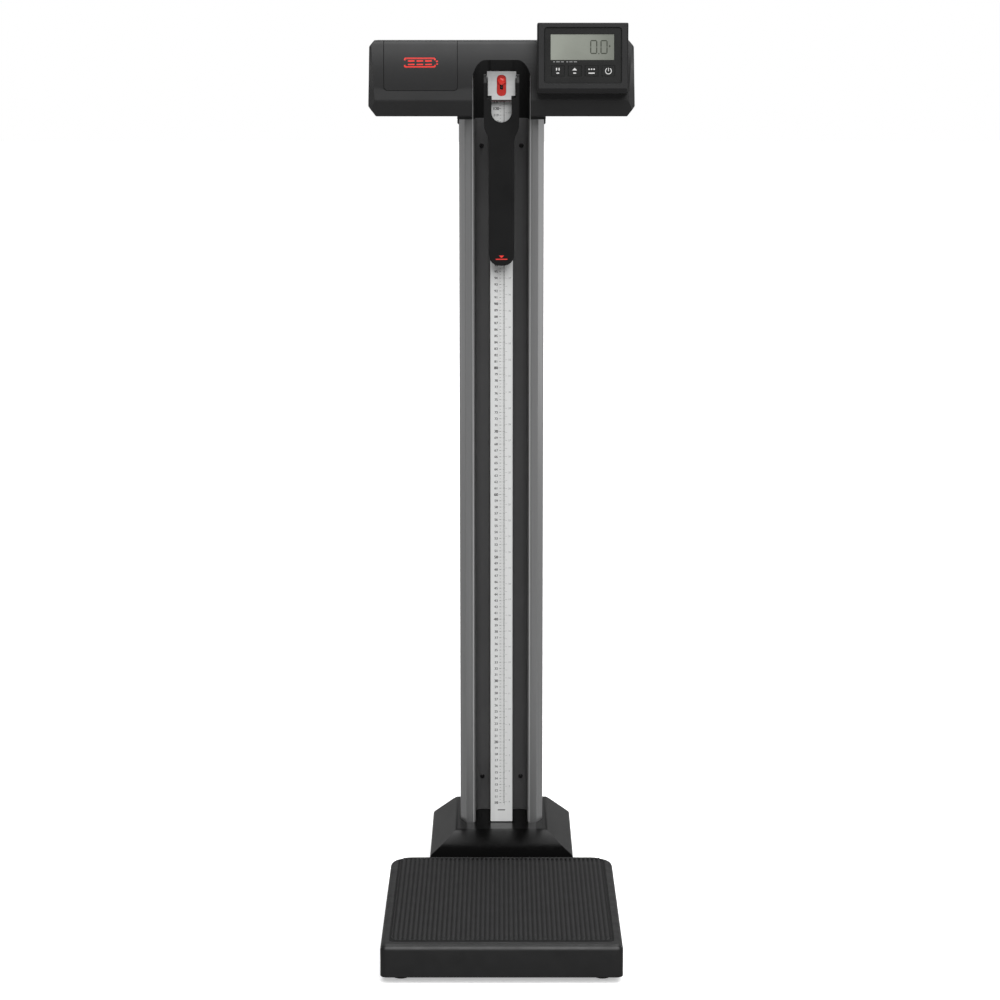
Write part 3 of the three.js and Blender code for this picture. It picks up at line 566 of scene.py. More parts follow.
class StageOperator(bpy.types.Operator):
    """Camera, floor and studio lights."""
    bl_idname = "column_scale.stage"
    bl_label = "Stage"

    eye: bpy.props.FloatVectorProperty(
        name="Eye", description="Where the camera stands",
        default=(-0.0023, -4.058, 1.332), subtype="TRANSLATION",
        unit="LENGTH")
    pitch: bpy.props.FloatProperty(
        name="Pitch", description="How far the camera looks down",
        default=math.radians(9.68), subtype="ANGLE")
    lens: bpy.props.FloatProperty(name="Lens", description="Focal length in millimetres", default=98.68)

    def execute(self, context):
        scene = context.scene
        scene.view_settings.view_transform = "Standard"
        data = bpy.data.cameras.new("view")
        data.lens = self.lens
        data.sensor_width = 36.0
        camera = bpy.data.objects.new("view", data)
        camera.location = self.eye
        camera.rotation_euler = (math.pi / 2 - self.pitch, 0, 0)
        scene.collection.objects.link(camera)
        scene.camera = camera

        reach = 30.0
        grid = np.linspace(-reach, reach, 5)
        x, y = np.meshgrid(grid, grid)
        points = np.stack([x, y, np.zeros_like(x)], axis=-1).reshape(-1, 3)
        index = np.arange(25).reshape(5, 5)
        quads = np.stack([index[:-1, :-1], index[:-1, 1:], index[1:, 1:], index[1:, :-1]], axis=-1)
        mesh = bpy.data.meshes.new("floor")
        mesh.from_pydata(points.tolist(), [], quads.reshape(-1, 4).tolist())
        mesh.materials.append(painted_floor())
        floor = bpy.data.objects.new("floor", mesh)
        scene.collection.objects.link(floor)

        self.studio(scene)
        self.sun(scene, "front_fill", (0.5, -2.2, 2.6), 62, 3.6, True)
        self.sun(scene, "overhead", (0.2, 1.5, 2.75), 40, 0.8, True)
        aim = Vector((0, 0.1, 0.8))
        self.softbox(scene, "right_strip", (4.5, 3.2, 0.8), aim, 3.5, 32)
        self.softbox(scene, "left_strip", (-4.5, 3.2, 0.8), aim, 3.5, 11)
        return {"FINISHED"}

    @staticmethod
    def studio(scene):
        """A white background for the eye; the light it sheds falls off from the back wall to the front."""
        world = bpy.data.worlds.new("studio")
        scene.world = world
        world.use_nodes = True
        tree = world.node_tree
        seen = tree.nodes["Background"]
        seen.inputs["Color"].default_value = (1.0, 1.0, 1.0, 1.0)
        shed = tree.nodes.new("ShaderNodeBackground")
        place_in = tree.nodes.new("ShaderNodeTexCoord")
        axes = tree.nodes.new("ShaderNodeSeparateXYZ")
        depth = tree.nodes.new("ShaderNodeMapRange")
        depth.inputs["From Min"].default_value = -1.0
        depth.inputs["To Min"].default_value = 0.14
        depth.inputs["To Max"].default_value = 0.34
        path = tree.nodes.new("ShaderNodeLightPath")
        either = tree.nodes.new("ShaderNodeMixShader")
        tree.links.new(place_in.outputs["Generated"], axes.inputs["Vector"])
        tree.links.new(axes.outputs["Y"], depth.inputs["Value"])
        tree.links.new(depth.outputs["Result"], shed.inputs["Strength"])
        tree.links.new(path.outputs["Is Camera Ray"], either.inputs["Fac"])
        tree.links.new(shed.outputs["Background"], either.inputs[1])
        tree.links.new(seen.outputs["Background"], either.inputs[2])
        tree.links.new(either.outputs["Shader"], tree.nodes["World Output"].inputs["Surface"])

    @classmethod
    def sun(cls, scene, name, place_from, angle, energy, in_gloss):
        """A broad even light from one side; one that isn't in the gloss lights the colours only."""
        data = bpy.data.lights.new(name, "SUN")
        data.energy = energy
        data.angle = math.radians(angle)
        lamp = cls.hang(scene, data, place_from, Vector((0, 0, 0)))
        lamp.visible_glossy = in_gloss

    @staticmethod
    def hang(scene, data, location, aim):
        lamp = bpy.data.objects.new(data.name, data)
        lamp.location = location
        lamp.rotation_mode = "QUATERNION"
        lamp.rotation_quaternion = (aim - Vector(location)).to_track_quat("-Z", "Y")
        scene.collection.objects.link(lamp)
        return lamp

    @classmethod
    def softbox(cls, scene, name, location, aim, size, power):
        data = bpy.data.lights.new(name, "AREA")
        data.shape = "SQUARE"
        data.size = size
        data.energy = power
        cls.hang(scene, data, location, aim)


# ---------------------------------------------------------------- base and platform

class BaseOperator(bpy.types.Operator):
    """Frame plate, load cells, carrier, column foot, boards and the lead."""
    bl_idname = "column_scale.base"
    bl_label = "Base"

    def execute(self, context):
        sheet = drawn_metal("zinc_sheet", (0.42, 0.43, 0.44), 0.42, (1.0, 0.02, 1.0), anisotropic=0.1)
        machined = drawn_metal("machined_aluminium", (0.6, 0.61, 0.62), 0.3, (1.0, 0.03, 1.0))
        for node in ("base_frame", "load_carrier", "column_foot"):
            softened(node, sheet, sizes().metal_edge, angle=40, steps=2)
        for place_name in PLACES:
            softened(f"load_cell_{place_name}", machined, sizes().metal_edge, angle=40, steps=2)
        mask = circuit_board("solder_mask", (0.02, 0.11, 0.05))
        for node in ("junction_board", "main_board"):
            finish_node(node, mask)
        self.lead()
        return {"FINISHED"}

    def lead(self):
        """The lead's middle line: straight runs between corners, each corner a parabola that starts and
        ends one bend radius away from it; a round jacket is carried along it."""
        low, high = span_of("signal_lead")
        radius = 2.5 * MM
        bend = 14 * MM
        x, floor_z = 30 * MM, low[2] + radius
        back, top, side = high[1] - radius, high[2] - radius, high[0] - radius
        board_y = 144 * MM
        route = np.array([(x, low[1], floor_z), (x, back, floor_z), (x, back, top), (side, back, top),
                          (side, board_y, top)])
        share = np.linspace(0, 1, 9)[:, None]
        line = [route[0][None]]
        for before, corner, after in zip(route[:-2], route[1:-1], route[2:]):
            start = corner + unit(before - corner) * bend
            end = corner + unit(after - corner) * bend
            line.append((1 - share) ** 2 * start + 2 * share * (1 - share) * corner + share ** 2 * end)
        line.append(route[-1][None])
        jacket = rubber("lead_jacket", (0.012, 0.012, 0.012), 0.6)
        mesh = loft("signal_lead_jacket", tube_sections(np.concatenate(line), radius * 0.98, 16))
        place(mesh, jacket, "root", "lead_jacket", "signal_lead")


class PlatformOperator(bpy.types.Operator):
    """Platform cover and the ribbed mat on it."""
    bl_idname = "column_scale.platform"
    bl_label = "Platform"

    def execute(self, context):
        self.cover()
        self.mat()
        return {"FINISHED"}

    def cover(self):
        """One skin carried round the plan: up the inside of the skirt, over its lower rim, up the
        outside, over a quarter-round edge, level to the mat's seat and down into it. The rim steps up
        over the base's neck at the rear."""
        low, high = span_of("platform_cover")
        mat_low, mat_high = span_of("platform_mat")
        corner_front, corner_rear = 9 * MM, 27 * MM
        spacing = 12 * MM
        steps = 7
        plan = [(low[0], low[1], corner_front), (high[0], low[1], corner_front),
                (high[0], high[1], corner_rear), (low[0], high[1], corner_rear)]
        seat_gap = 0.4 * MM
        seat = [(mat_low[0] - seat_gap, mat_low[1] - seat_gap, corner_front),
                (mat_high[0] + seat_gap, mat_low[1] - seat_gap, corner_front),
                (mat_high[0] + seat_gap, mat_high[1] + 0.8 * MM, corner_rear * 0.8),
                (mat_low[0] - seat_gap, mat_high[1] + 0.8 * MM, corner_rear * 0.8)]
        corners = rounded_outline(plan, steps)
        owner, share = stations(corners, spacing)
        outer = at_stations(corners, owner, share)
        seat_sides = at_stations(rounded_outline(seat, steps), owner, share)
        wall = 2.6 * MM
        over_neck = (outer[:, 1] > high[1] - 6 * MM) & (np.abs(outer[:, 0]) < 104 * MM)
        rim = np.where(over_neck, 34 * MM, low[2])
        edge = sizes().platform_edge
        top = high[2]
        angles = np.linspace(0, np.pi / 2, 8)
        rows = [(inset(outer, wall + 1 * MM), np.full(len(outer), top - 3.4 * MM)),
                (inset(outer, wall), rim + 0.8 * MM),
                (inset(outer, wall - 0.8 * MM), rim),
                (inset(outer, 0.8 * MM), rim),
                (outer, rim + 0.8 * MM)]
        rows += [(inset(outer, edge * (1 - np.cos(a))), np.full(len(outer), top - edge * (1 - np.sin(a))))
                 for a in angles]
        seat_floor = mat_low[2] - 0.2 * MM
        break_edge = 0.4 * MM
        rows += [(seat_sides + inset(outer, -break_edge) - outer, np.full(len(outer), top)),
                 (seat_sides, np.full(len(outer), top - break_edge)),
                 (seat_sides, np.full(len(outer), seat_floor))]
        sections = np.stack([np.column_stack([plan_points, heights]) for plan_points, heights in rows])
        mesh = loft("platform_cover_pressing", sections, 30)
        finish = powder_coat("platform_powder_coat", colours().platform, 0.46)
        place(mesh, finish, "root", "platform_paint", "platform_cover")

    def mat(self):
        """Height over the mat's width: a train of ribs, each a raised cosine flattened at its crest and
        valley, carried from a front line to a rear line that curve back at the two corners."""
        low, high = span_of("platform_mat")
        pitch, height = sizes().rib_pitch, sizes().rib_height
        half = high[0] - 2.2 * MM
        samples = int(round(2 * half / pitch)) * 8
        x = np.linspace(-half, half, samples + 1)
        wave = np.cos(2 * np.pi * x / pitch)
        crest = high[2] - height * (1 - np.clip(0.5 + 0.9 * wave, 0, 1))
        corner = 10 * MM
        beyond = np.clip((np.abs(x) - (half - corner)) / corner, 0, 1)
        setback = corner * (1 - np.sqrt(1 - beyond ** 2))
        front = low[1] + sizes().mat_gap + setback
        rear = high[1] - 0.3 * MM - setback * 1.6
        edge = 0.5 * MM
        stations = [(0.0, edge * 1.4), (edge * 0.3, edge * 0.5), (edge, 0.0)]
        rows = [(front + inward, drop) for inward, drop in stations]
        rows += [(front + (rear - front) * share, 0.0) for share in np.linspace(0.05, 0.95, 10)]
        rows += [(rear - inward, drop) for inward, drop in stations[::-1]]
        bottom = np.full_like(x, low[2] + 0.4 * MM)
        sections = []
        for y, drop in rows:
            upper = np.column_stack([x, y, crest - drop])
            lower = np.column_stack([x, y, bottom])[::-1]
            sections.append(np.concatenate([upper, lower]))
        mesh = loft("platform_mat_ribbed", np.stack(sections), 40)
        place(mesh, rubber("mat_rubber_finish", colours().mat, 0.62), "root", "mat_rubber", "platform_mat")
        self.border(low, high)

    def border(self, low, high):
        """A near-black slab as large as the seat, under the ribs, whose rim shows in the open line round them:
        painted shade that darkens that line."""
        outline = rounded_outline([(low[0], low[1], 9 * MM), (high[0], low[1], 9 * MM),
                                   (high[0], high[1], 21 * MM), (low[0], high[1], 21 * MM)], 7)
        sections = slab_sections(outline, low[2] - 0.1 * MM, low[2] + 0.45 * MM, 0.1 * MM, 2)
        # painted shade: near-black rubber that darkens the open line round the mat
        painted_gap_shade = rubber("mat_selvedge", (0.0025, 0.0025, 0.0025), 0.8)
        place(loft("platform_mat_border", sections, 40), painted_gap_shade, "root", "mat_rubber")


class FeetOperator(bpy.types.Operator):
    """Levelling feet: rubber pads and threaded studs."""
    bl_idname = "column_scale.feet"
    bl_label = "Feet"

    thread_pitch: bpy.props.FloatProperty(
        name="Thread pitch", description="Pitch of the studs", default=0.0015, unit="LENGTH")

    def execute(self, context):
        pad_rubber = rubber("foot_rubber_finish", (0.015, 0.015, 0.015), 0.7)
        zinc = plated("bright_zinc", (0.6, 0.61, 0.62))
        for place_name in PLACES:
            self.pad(place_name, pad_rubber)
            self.stud(place_name, zinc)
        for node in ("wheel_axle", "hinge_pin_left", "hinge_pin_right"):
            softened(node, zinc, 0.3 * MM, angle=40, steps=2)
        return {"FINISHED"}

    def pad(self, place_name, finish):
        """A turned disc with a rounded foot, two grip rings and a socket for the stud."""
        low, high = span_of(f"foot_pad_{place_name}")
        middle = (low + high) / 2
        radius, height = (high[0] - low[0]) / 2, high[2] - low[2]
        profile = [(0.0, 0.0), (radius - 2 * MM, 0.0), (radius - 0.6 * MM, 0.4 * MM), (radius, 1.4 * MM),
                   (radius, 2.6 * MM), (radius - 0.7 * MM, 3.0 * MM), (radius, 3.4 * MM), (radius, 4.4 * MM),
                   (radius - 0.7 * MM, 4.8 * MM), (radius, 5.2 * MM), (radius - 0.6 * MM, height - 0.4 * MM),
                   (radius - 1.4 * MM, height), (4.6 * MM, height), (4.4 * MM, 3.7 * MM), (0.0, 3.6 * MM)]
        sections = turned(profile, (middle[0], middle[1], 0), (0, 0, 1))
        mesh = loft(f"foot_pad_{place_name}_turned", sections)
        place(mesh, finish, f"pad_{place_name}", "foot_rubber", f"foot_pad_{place_name}")

    def stud(self, place_name, finish):
        """A shank whose radius falls from crest to root with the distance from a helix of the thread's
        pitch: radius as a function of the angle and the height."""
        low, high = span_of(f"foot_stud_{place_name}")
        middle = (low + high) / 2
        angle = np.linspace(0, 2 * np.pi, 28, endpoint=False)
        height = np.linspace(low[2] + 7.4 * MM, high[2], 90)
        turn = height[:, None] / self.thread_pitch - angle[None] / (2 * np.pi)
        flank = np.abs(turn - np.floor(turn) - 0.5) * 2
        radius = 3.9 * MM - 0.55 * MM * flank
        points = np.stack([middle[0] + radius * np.cos(angle), middle[1] + radius * np.sin(angle),
                           np.broadcast_to(height[:, None], radius.shape)], axis=-1)
        six = np.linspace(0, 2 * np.pi, 6, endpoint=False)
        nearest = (angle[None] - six[:, None] + np.pi) % (2 * np.pi) - np.pi
        hexagon = 5.6 * MM / np.cos(np.abs(nearest).min(axis=0))
        hexagon = np.minimum(hexagon, 6.3 * MM)
        ring = lambda r, z: np.column_stack([middle[0] + r * np.cos(angle), middle[1] + r * np.sin(angle),
                                             np.full(len(angle), z)])
        shank = np.full(len(angle), 3.9 * MM)
        nut_low, nut_high = 7.3 * MM, 10.4 * MM
        start = [ring(shank * 0.8, low[2]), ring(shank, low[2] + 0.5 * MM), ring(shank, nut_low),
                 ring(hexagon - 0.4 * MM, nut_low), ring(hexagon, nut_low + 0.4 * MM),
                 ring(hexagon, nut_high - 0.4 * MM), ring(hexagon - 0.4 * MM, nut_high),
                 ring(shank * 0.9, nut_high)]
        sections = np.concatenate([np.stack(start), points])
        mesh = loft(f"foot_stud_{place_name}_threaded", sections, 40)
        place(mesh, finish, f"stud_{place_name}", "zinc", f"foot_stud_{place_name}")


class WheelsOperator(bpy.types.Operator):
    """Transport wheels at the rear of the foot."""
    bl_idname = "column_scale.wheels"
    bl_label = "Wheels"

    def execute(self, context):
        tyre = rubber("wheel_tyre", (0.02, 0.02, 0.02), 0.6)
        hub = moulded("wheel_hub_grey", (0.10, 0.10, 0.10), 0.45)
        for side in SIDES:
            node = f"transport_wheel_{side}"
            low, high = span_of(node)
            middle = (low + high) / 2
            radius, half = (high[2] - low[2]) / 2, (high[0] - low[0]) / 2
            round_off = 2.5 * MM
            rim = radius - 7 * MM
            profile = [(rim, -half + 1 * MM), (rim + 1 * MM, -half), (radius - round_off, -half),
                       (radius - 0.7 * MM, -half + 0.7 * MM), (radius, -half + round_off),
                       (radius, half - round_off), (radius - 0.7 * MM, half - 0.7 * MM), (radius - round_off, half),
                       (rim + 1 * MM, half),
                       (rim, half - 1 * MM)]
            mesh = loft(f"{node}_tyre", turned(profile, middle, (1, 0, 0), 64), closed_path=True)
            place(mesh, tyre, f"wheel_{side}", "wheel_rubber", node)
            self.hub(side, middle, rim, half, hub)
        return {"FINISHED"}

    def hub(self, side, middle, rim, half, finish):
        """A dished disc whose faces ripple into five spokes: its thickness is a function of the radius
        and of the cosine of five times the angle."""
        angle = np.linspace(0, 2 * np.pi, 80, endpoint=False)
        radii = np.linspace(4.4 * MM, rim - 0.05 * MM, 14)
        rise = np.sin(np.linspace(0, np.pi, 14))[:, None]
        ripple = 0.5 + 0.5 * np.tanh(4 * np.cos(5 * angle))[None]
        depth = half - 1.2 * MM - rise * (3.0 * MM + 2.6 * MM * (1 - ripple))
        face = lambda sign: np.stack([middle[0] + sign * depth, middle[1] + radii[:, None] * np.cos(angle),
                                      middle[2] + radii[:, None] * np.sin(angle)], axis=-1)
        sections = np.concatenate([face(1), face(-1)[::-1]])
        mesh = loft(f"transport_wheel_{side}_hub", sections, 45, closed_path=True)
        place(mesh, finish, f"wheel_{side}", "wheel_rubber")


# ---------------------------------------------------------------- column

class ColumnOperator(bpy.types.Operator):
    """Column extrusion, the liner of its groove, the shroud round its foot and its screws."""
    bl_idname = "column_scale.column"
    bl_label = "Column"

    def execute(self, context):
        self.extrusion()
        self.liner()
        black_screw = powder_coat("black_oxide", (0.010, 0.010, 0.010), 0.35)
        for node in (f"liner_screw_{level}_{side}" for level in ("lower", "upper") for side in SIDES):
            middle, (low, high) = centre_of(node), span_of(node)
            screw_head(node, (middle[0], high[1], middle[2]), (0, -1, 0), (high[0] - low[0]) / 2,
                       high[1] - low[1], black_screw)
        for side, sign in zip(SIDES, (-1, 1)):
            node = f"head_screw_{side}"
            middle, (low, high) = centre_of(node), span_of(node)
            seat = low[0] if sign > 0 else high[0]
            screw_head(node, (seat, middle[1], middle[2]), (sign, 0, 0), (high[2] - low[2]) / 2,
                       high[0] - low[0], black_screw)
        shroud = satin_black("shroud_satin", colours().shroud, 0.21)
        flagged(softened("foot_shroud", shroud, 1.4 * MM, angle=24, steps=4), "front_fill")
        return {"FINISHED"}

    def extrusion(self):
        """The column's outline, drawn once with its lips, chamfers and shallow face grooves, and carried
        up from foot to head."""
        low, high = span_of("column_extrusion")
        half, front, rear = high[0], low[1], high[1]
        lip, groove_half, groove_back = 56.5 * MM, 43.5 * MM, 260.8 * MM
        chamfer_y = 207 * MM
        nick = 0.35 * MM
        right = [(groove_half, groove_back, 0), (groove_half, front, 1.4 * MM), (46.6 * MM, front, 0),
                 (46.9 * MM, front + nick, 0), (47.3 * MM, front + nick, 0), (47.6 * MM, front, 0),
                 (lip, front, 2.2 * MM), (half, chamfer_y, 2.5 * MM), (half, rear, 10 * MM)]
        left = [(-x, y, r) for x, y, r in right[::-1]]
        outline = rounded_outline(right + left, 7)
        heights = np.linspace(low[2], high[2], 9)
        sections = np.stack([np.column_stack([outline, np.full(len(outline), z)]) for z in heights])
        metal = drawn_metal("column_anodised", colours().column, 0.36, metallic=0.75)
        place(loft("column_profile", sections, 25), metal, "root", "anodised_column", "column_extrusion")
        self.lip_edges(groove_half, front, low[2], high[2])

    def lip_edges(self, groove_half, front, foot, top):
        """A painted highlight along each lip's inner edge: a strip of metal much lighter than the column with a
            rounded front, drawn once and carried up the column."""
        # painted highlight: lighter metal standing in for the glint on the lip's rounded edge
        cut = drawn_metal("lip_bright_cut", (0.62, 0.62, 0.62), 0.3, metallic=0.5)
        width, depth, proud = 1.3 * MM, 1.2 * MM, 0.15 * MM
        for side, sign in zip(SIDES, (-1, 1)):
            near, far = sorted((sign * groove_half, sign * (groove_half + width)))
            outline = rounded_outline([(near, front - proud, 0.4 * MM), (far, front - proud, 0.4 * MM),
                                       (far, front + depth, 0), (near, front + depth, 0)], 4)
            sections = np.stack([np.column_stack([outline, np.full(len(outline), z)]) for z in (foot, top)])
            place(loft(f"column_lip_{side}", sections, 40), cut, "root", "anodised_column")

    def liner(self):
        """The liner's outline: two thin sides, wide round corners and a back with a shallow swelling behind the
        rule, carried up the groove. Inside the head the liner is near black: painted shade for the head's shadow
        in the groove."""
        low, high = span_of("channel_liner")
        half, front, back = high[0], low[1], high[1]
        wall = 1.5 * MM
        inner_half, inner_back = half - wall, back - wall
        outline = rounded_outline([
            (-half, front, 0.5 * MM), (-inner_half, front, 0.5 * MM), (-inner_half, inner_back, 12 * MM),
            (-20 * MM, inner_back, 6 * MM), (-17 * MM, inner_back - 4 * MM, 3 * MM),
            (17 * MM, inner_back - 4 * MM, 3 * MM), (20 * MM, inner_back, 6 * MM),
            (inner_half, inner_back, 12 * MM), (inner_half, front, 0.5 * MM), (half, front, 0.5 * MM),
            (half, back, 2 * MM), (-half, back, 2 * MM)], 8)
        head_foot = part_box("head_front")[0][2]
        satin = moulded("liner_satin", colours().liner, 0.5, grain=900, depth=0.00003)
        # painted shade: the liner inside the head is made near black for the head's shadow in the groove
        black = rubber("liner_black_flock", (0.004, 0.004, 0.004), 0.9)
        for name, z0, z1, finish in (("channel_liner_profile", low[2], head_foot, satin),
                                     ("channel_liner_top", head_foot, high[2], black)):
            heights = np.linspace(z0, z1, 7)
            sections = np.stack([np.column_stack([outline, np.full(len(outline), z)]) for z in heights])
            place(loft(name, sections, 30), finish, "root", "liner_plastic", "channel_liner")


def flagged(piece, lamp_name):
    """Keeps one lamp's light off a piece, as a black flag on a stand does in a studio."""
    kept_off = bpy.data.collections.new(f"kept_off_{lamp_name}")
    kept_off.objects.link(piece)
    kept_off.collection_objects[0].light_linking.link_state = "EXCLUDE"
    bpy.data.objects[lamp_name].light_linking.receiver_collection = kept_off


def screw_head(node, seat, axis, radius, height, finish):
    """A pan head as a function of radius and angle: a quarter-ellipse dome, less a cross whose arms
    fade out at half the radius."""
    rings, facets = 16, 48
    share = np.linspace(0, 1, rings)
    angle = np.linspace(0, 2 * np.pi, facets, endpoint=False)
    radii = radius * np.sin(share * np.pi / 2)
    dome = height * (0.35 + 0.65 * np.cos(share * np.pi / 2))
    across = np.minimum(np.abs(np.cos(angle)), np.abs(np.sin(angle)))[None] * radii[:, None]
    near_arm = np.clip(1.6 - across / (0.13 * radius), 0, 1)
    inside_arm = np.clip((0.58 * radius - radii[:, None]) / (0.12 * radius), 0, 1)
    arm = near_arm * inside_arm
    lift = dome[:, None] - 0.5 * height * arm
    axis = np.array(axis, float)
    beside = unit(np.cross(axis, (0.0, 0.0, 1.0)))
    upward = np.cross(axis, beside)
    spoke = np.cos(angle)[:, None] * beside + np.sin(angle)[:, None] * upward
    top = np.array(seat) + radii[:, None, None] * spoke + lift[..., None] * axis
    base = np.array(seat) + radius * spoke
    sections = np.concatenate([top, base[None]])
    place(loft(f"{node}_pan_head", sections, 40), finish, body_of_node(node), slot_of_node(node), node)


# ---------------------------------------------------------------- height rod

def figure_meshes(height):
    """The ten figures as flat outlines of the given height, centred, as vertex arrays and face lists."""
    figures = {}
    for figure in "0123456789":
        curve = bpy.data.curves.new("figure", "FONT")
        curve.body = figure
        curve.size = height / 0.7
        curve.resolution_u = 2
        maker = bpy.data.objects.new("figure", curve)
        bpy.context.scene.collection.objects.link(maker)
        bpy.context.view_layer.update()
        flat = maker.to_mesh()
        points = np.array([tuple(vertex.co) for vertex in flat.vertices])
        points[:, 0] -= points[:, 0].mean()
        points[:, 1] -= (points[:, 1].min() + points[:, 1].max()) / 2
        figures[figure] = (points, [list(polygon.vertices) for polygon in flat.polygons])
        maker.to_mesh_clear()
        bpy.data.objects.remove(maker)
        bpy.data.curves.remove(curve)
    return figures


def printed_number(number, x, z, face_y, figures, advance, scale=1.0, bold=0.0):
    """A number's figures set side by side, centred on x and z, on a face that looks along -Y."""
    parts = []
    text = str(number)
    for index, figure in enumerate(text):
        points, faces = figures[figure]
        shift = (index - (len(text) - 1) / 2) * advance * scale
        offsets = [-bold, bold] if bold else [0.0]
        for layer, nudge in enumerate(offsets):
            flat = np.column_stack([points[:, 0] * scale + shift + x + nudge,
                                    np.full(len(points), face_y - 0.00001 * layer),
                                    points[:, 1] * scale + z])
            parts.append((flat, faces))
    return parts


class RuleOperator(bpy.types.Operator):
    """Outer rule and inner rod with their printed graduations, their guides and brackets."""
    bl_idname = "column_scale.rule"
    bl_label = "Height rod"

    zero: bpy.props.FloatProperty(
        name="Zero", description="Height of the rule's zero above the floor", default=0.017, unit="LENGTH")

    def execute(self, context):
        light_metal = drawn_metal("rule_anodised_light", colours().rule, 0.5, depth=0.000006, anisotropic=0.0,
                                  metallic=0.25)
        rod_metal = drawn_metal("rod_anodised_grey", (0.74, 0.745, 0.745), 0.4, depth=0.000006, metallic=0.35)
        softened("outer_rule", light_metal, 0.35 * MM, angle=40, steps=2)
        softened("inner_rod", rod_metal, 0.3 * MM, angle=40, steps=2)
        black_slide = moulded("slide_black", (0.018, 0.018, 0.018), 0.5)
        for node in ("rod_guide", "rod_glide", "rod_cap", "rule_bracket_lower", "rule_bracket_upper"):
            softened(node, black_slide, 0.4 * MM, steps=2)
        black = ink("rule_ink", (0.035, 0.035, 0.036))
        grey = ink("rule_ink_grey", (0.24, 0.24, 0.245))
        self.rule_print(black, grey)
        self.rod_print(black)
        return {"FINISHED"}

    def ticks(self, heights, x0, x1, thick, face_y, lift):
        """A level dash at each height, from x0 to x1, that stands on its face by the lift."""
        every = np.ones(len(heights))
        low = np.column_stack([x0 * every, (face_y - lift) * every, heights - thick / 2])
        high = np.column_stack([x1 * every, (face_y + 0.02 * MM) * every, heights + thick / 2])
        return blocks(low, high)

    def rule_print(self, black, grey):
        """Centimetre figures and ticks left of a line, millimetre ticks on the line and inch ticks and
        figures right of it, all counted up from the rule's zero."""
        low, high = span_of("outer_rule")
        face_y, lift = low[1], sizes().print_height
        figures = figure_meshes(sizes().figure_height)
        advance = sizes().figure_height * 0.7
        first = int(math.ceil((low[2] + 25 * MM - self.zero) / 0.01))
        last = int((high[2] - 8 * MM - self.zero) / 0.01)
        centimetres = np.arange(first, last + 1)
        heights = self.zero + centimetres * 0.01
        halves = heights[:-1] + 0.005
        millimetres = self.zero + np.arange(first * 10, last * 10) * 0.001
        line_x = 4.6 * MM
        parts = [self.ticks(heights, -3.4 * MM, -0.2 * MM, 0.55 * MM, face_y, lift),
                 self.ticks(halves, -2.6 * MM, -0.9 * MM, 0.35 * MM, face_y, lift),
                 self.ticks(millimetres, line_x - 1.8 * MM, line_x, 0.28 * MM, face_y, lift),
                 self.ticks(heights, line_x - 2.6 * MM, line_x + 0.9 * MM, 0.4 * MM, face_y, lift),
                 blocks(np.array([line_x - 0.12 * MM, face_y - lift, heights[0] - 4 * MM]),
                        np.array([line_x + 0.14 * MM, face_y + 0.00002, heights[-1] + 2 * MM])),
                 self.ticks(np.array([low[2] + 19 * MM]), -6 * MM, 6 * MM, 1.6 * MM, face_y, lift)]
        for number, z in zip(centimetres, heights):
            decade = number % 10 == 0
            parts += printed_number(number, -8.4 * MM, z, face_y - lift, figures, advance,
                                    1.12 if decade else 0.96, 0.28 * MM if decade else 0.16 * MM)
        vertices, faces = stacked(parts)
        place(flat_print("rule_graduation", vertices, faces), black, "root", "rule_anodised")

        inch = 0.0254
        half_inch = inch / 2
        start, end = first * 0.01, last * 0.01
        half_inches = self.zero + np.arange(int(start / half_inch) + 1, int(end / half_inch)) * half_inch
        inches = np.arange(int(start / inch) + 1, int(end / inch))
        parts = [self.ticks(half_inches, line_x + 1.2 * MM, line_x + 4.4 * MM, 0.35 * MM, face_y, lift)]
        for number in inches:
            parts += printed_number(number, line_x + 8.0 * MM, self.zero + number * inch, face_y - lift,
                                    figures, advance, 0.7)
        vertices, faces = stacked(parts)
        place(flat_print("rule_inch_graduation", vertices, faces), grey, "root", "rule_anodised")

    def rod_print(self, black):
        """Centimetre figures on the rod, read at the rule's upper end, so they count down the rod."""
        rule_top = span_of("outer_rule")[1][2]
        low, high = span_of("inner_rod")
        face_y, lift = low[1], sizes().print_height
        figures = figure_meshes(sizes().figure_height)
        start = rule_top - self.zero
        numbers = np.arange(int(math.ceil(start / 0.01)) + 1, int((start + 0.80) / 0.01))
        heights = rule_top - (numbers * 0.01 - start)
        parts = [self.ticks(heights, 2.0 * MM, 9.0 * MM, 0.45 * MM, face_y, lift),
                 self.ticks(heights - 0.005, 5.0 * MM, 9.0 * MM, 0.35 * MM, face_y, lift)]
        for number, z in zip(numbers, heights):
            parts += printed_number(number, -4.5 * MM, z, face_y - lift, figures,
                                    sizes().figure_height * 0.72)
        vertices, faces = stacked(parts)
        place(flat_print("rod_graduation", vertices, faces), black, "rod", "rod_anodised")


def flat_print(name, vertices, faces):
    """Printed marks as a mesh that keeps its own facing."""
    mesh = bpy.data.meshes.new(name)
    mesh.from_pydata(vertices.tolist(), [], faces)
    mesh.update()
    return mesh


# ---------------------------------------------------------------- headpiece

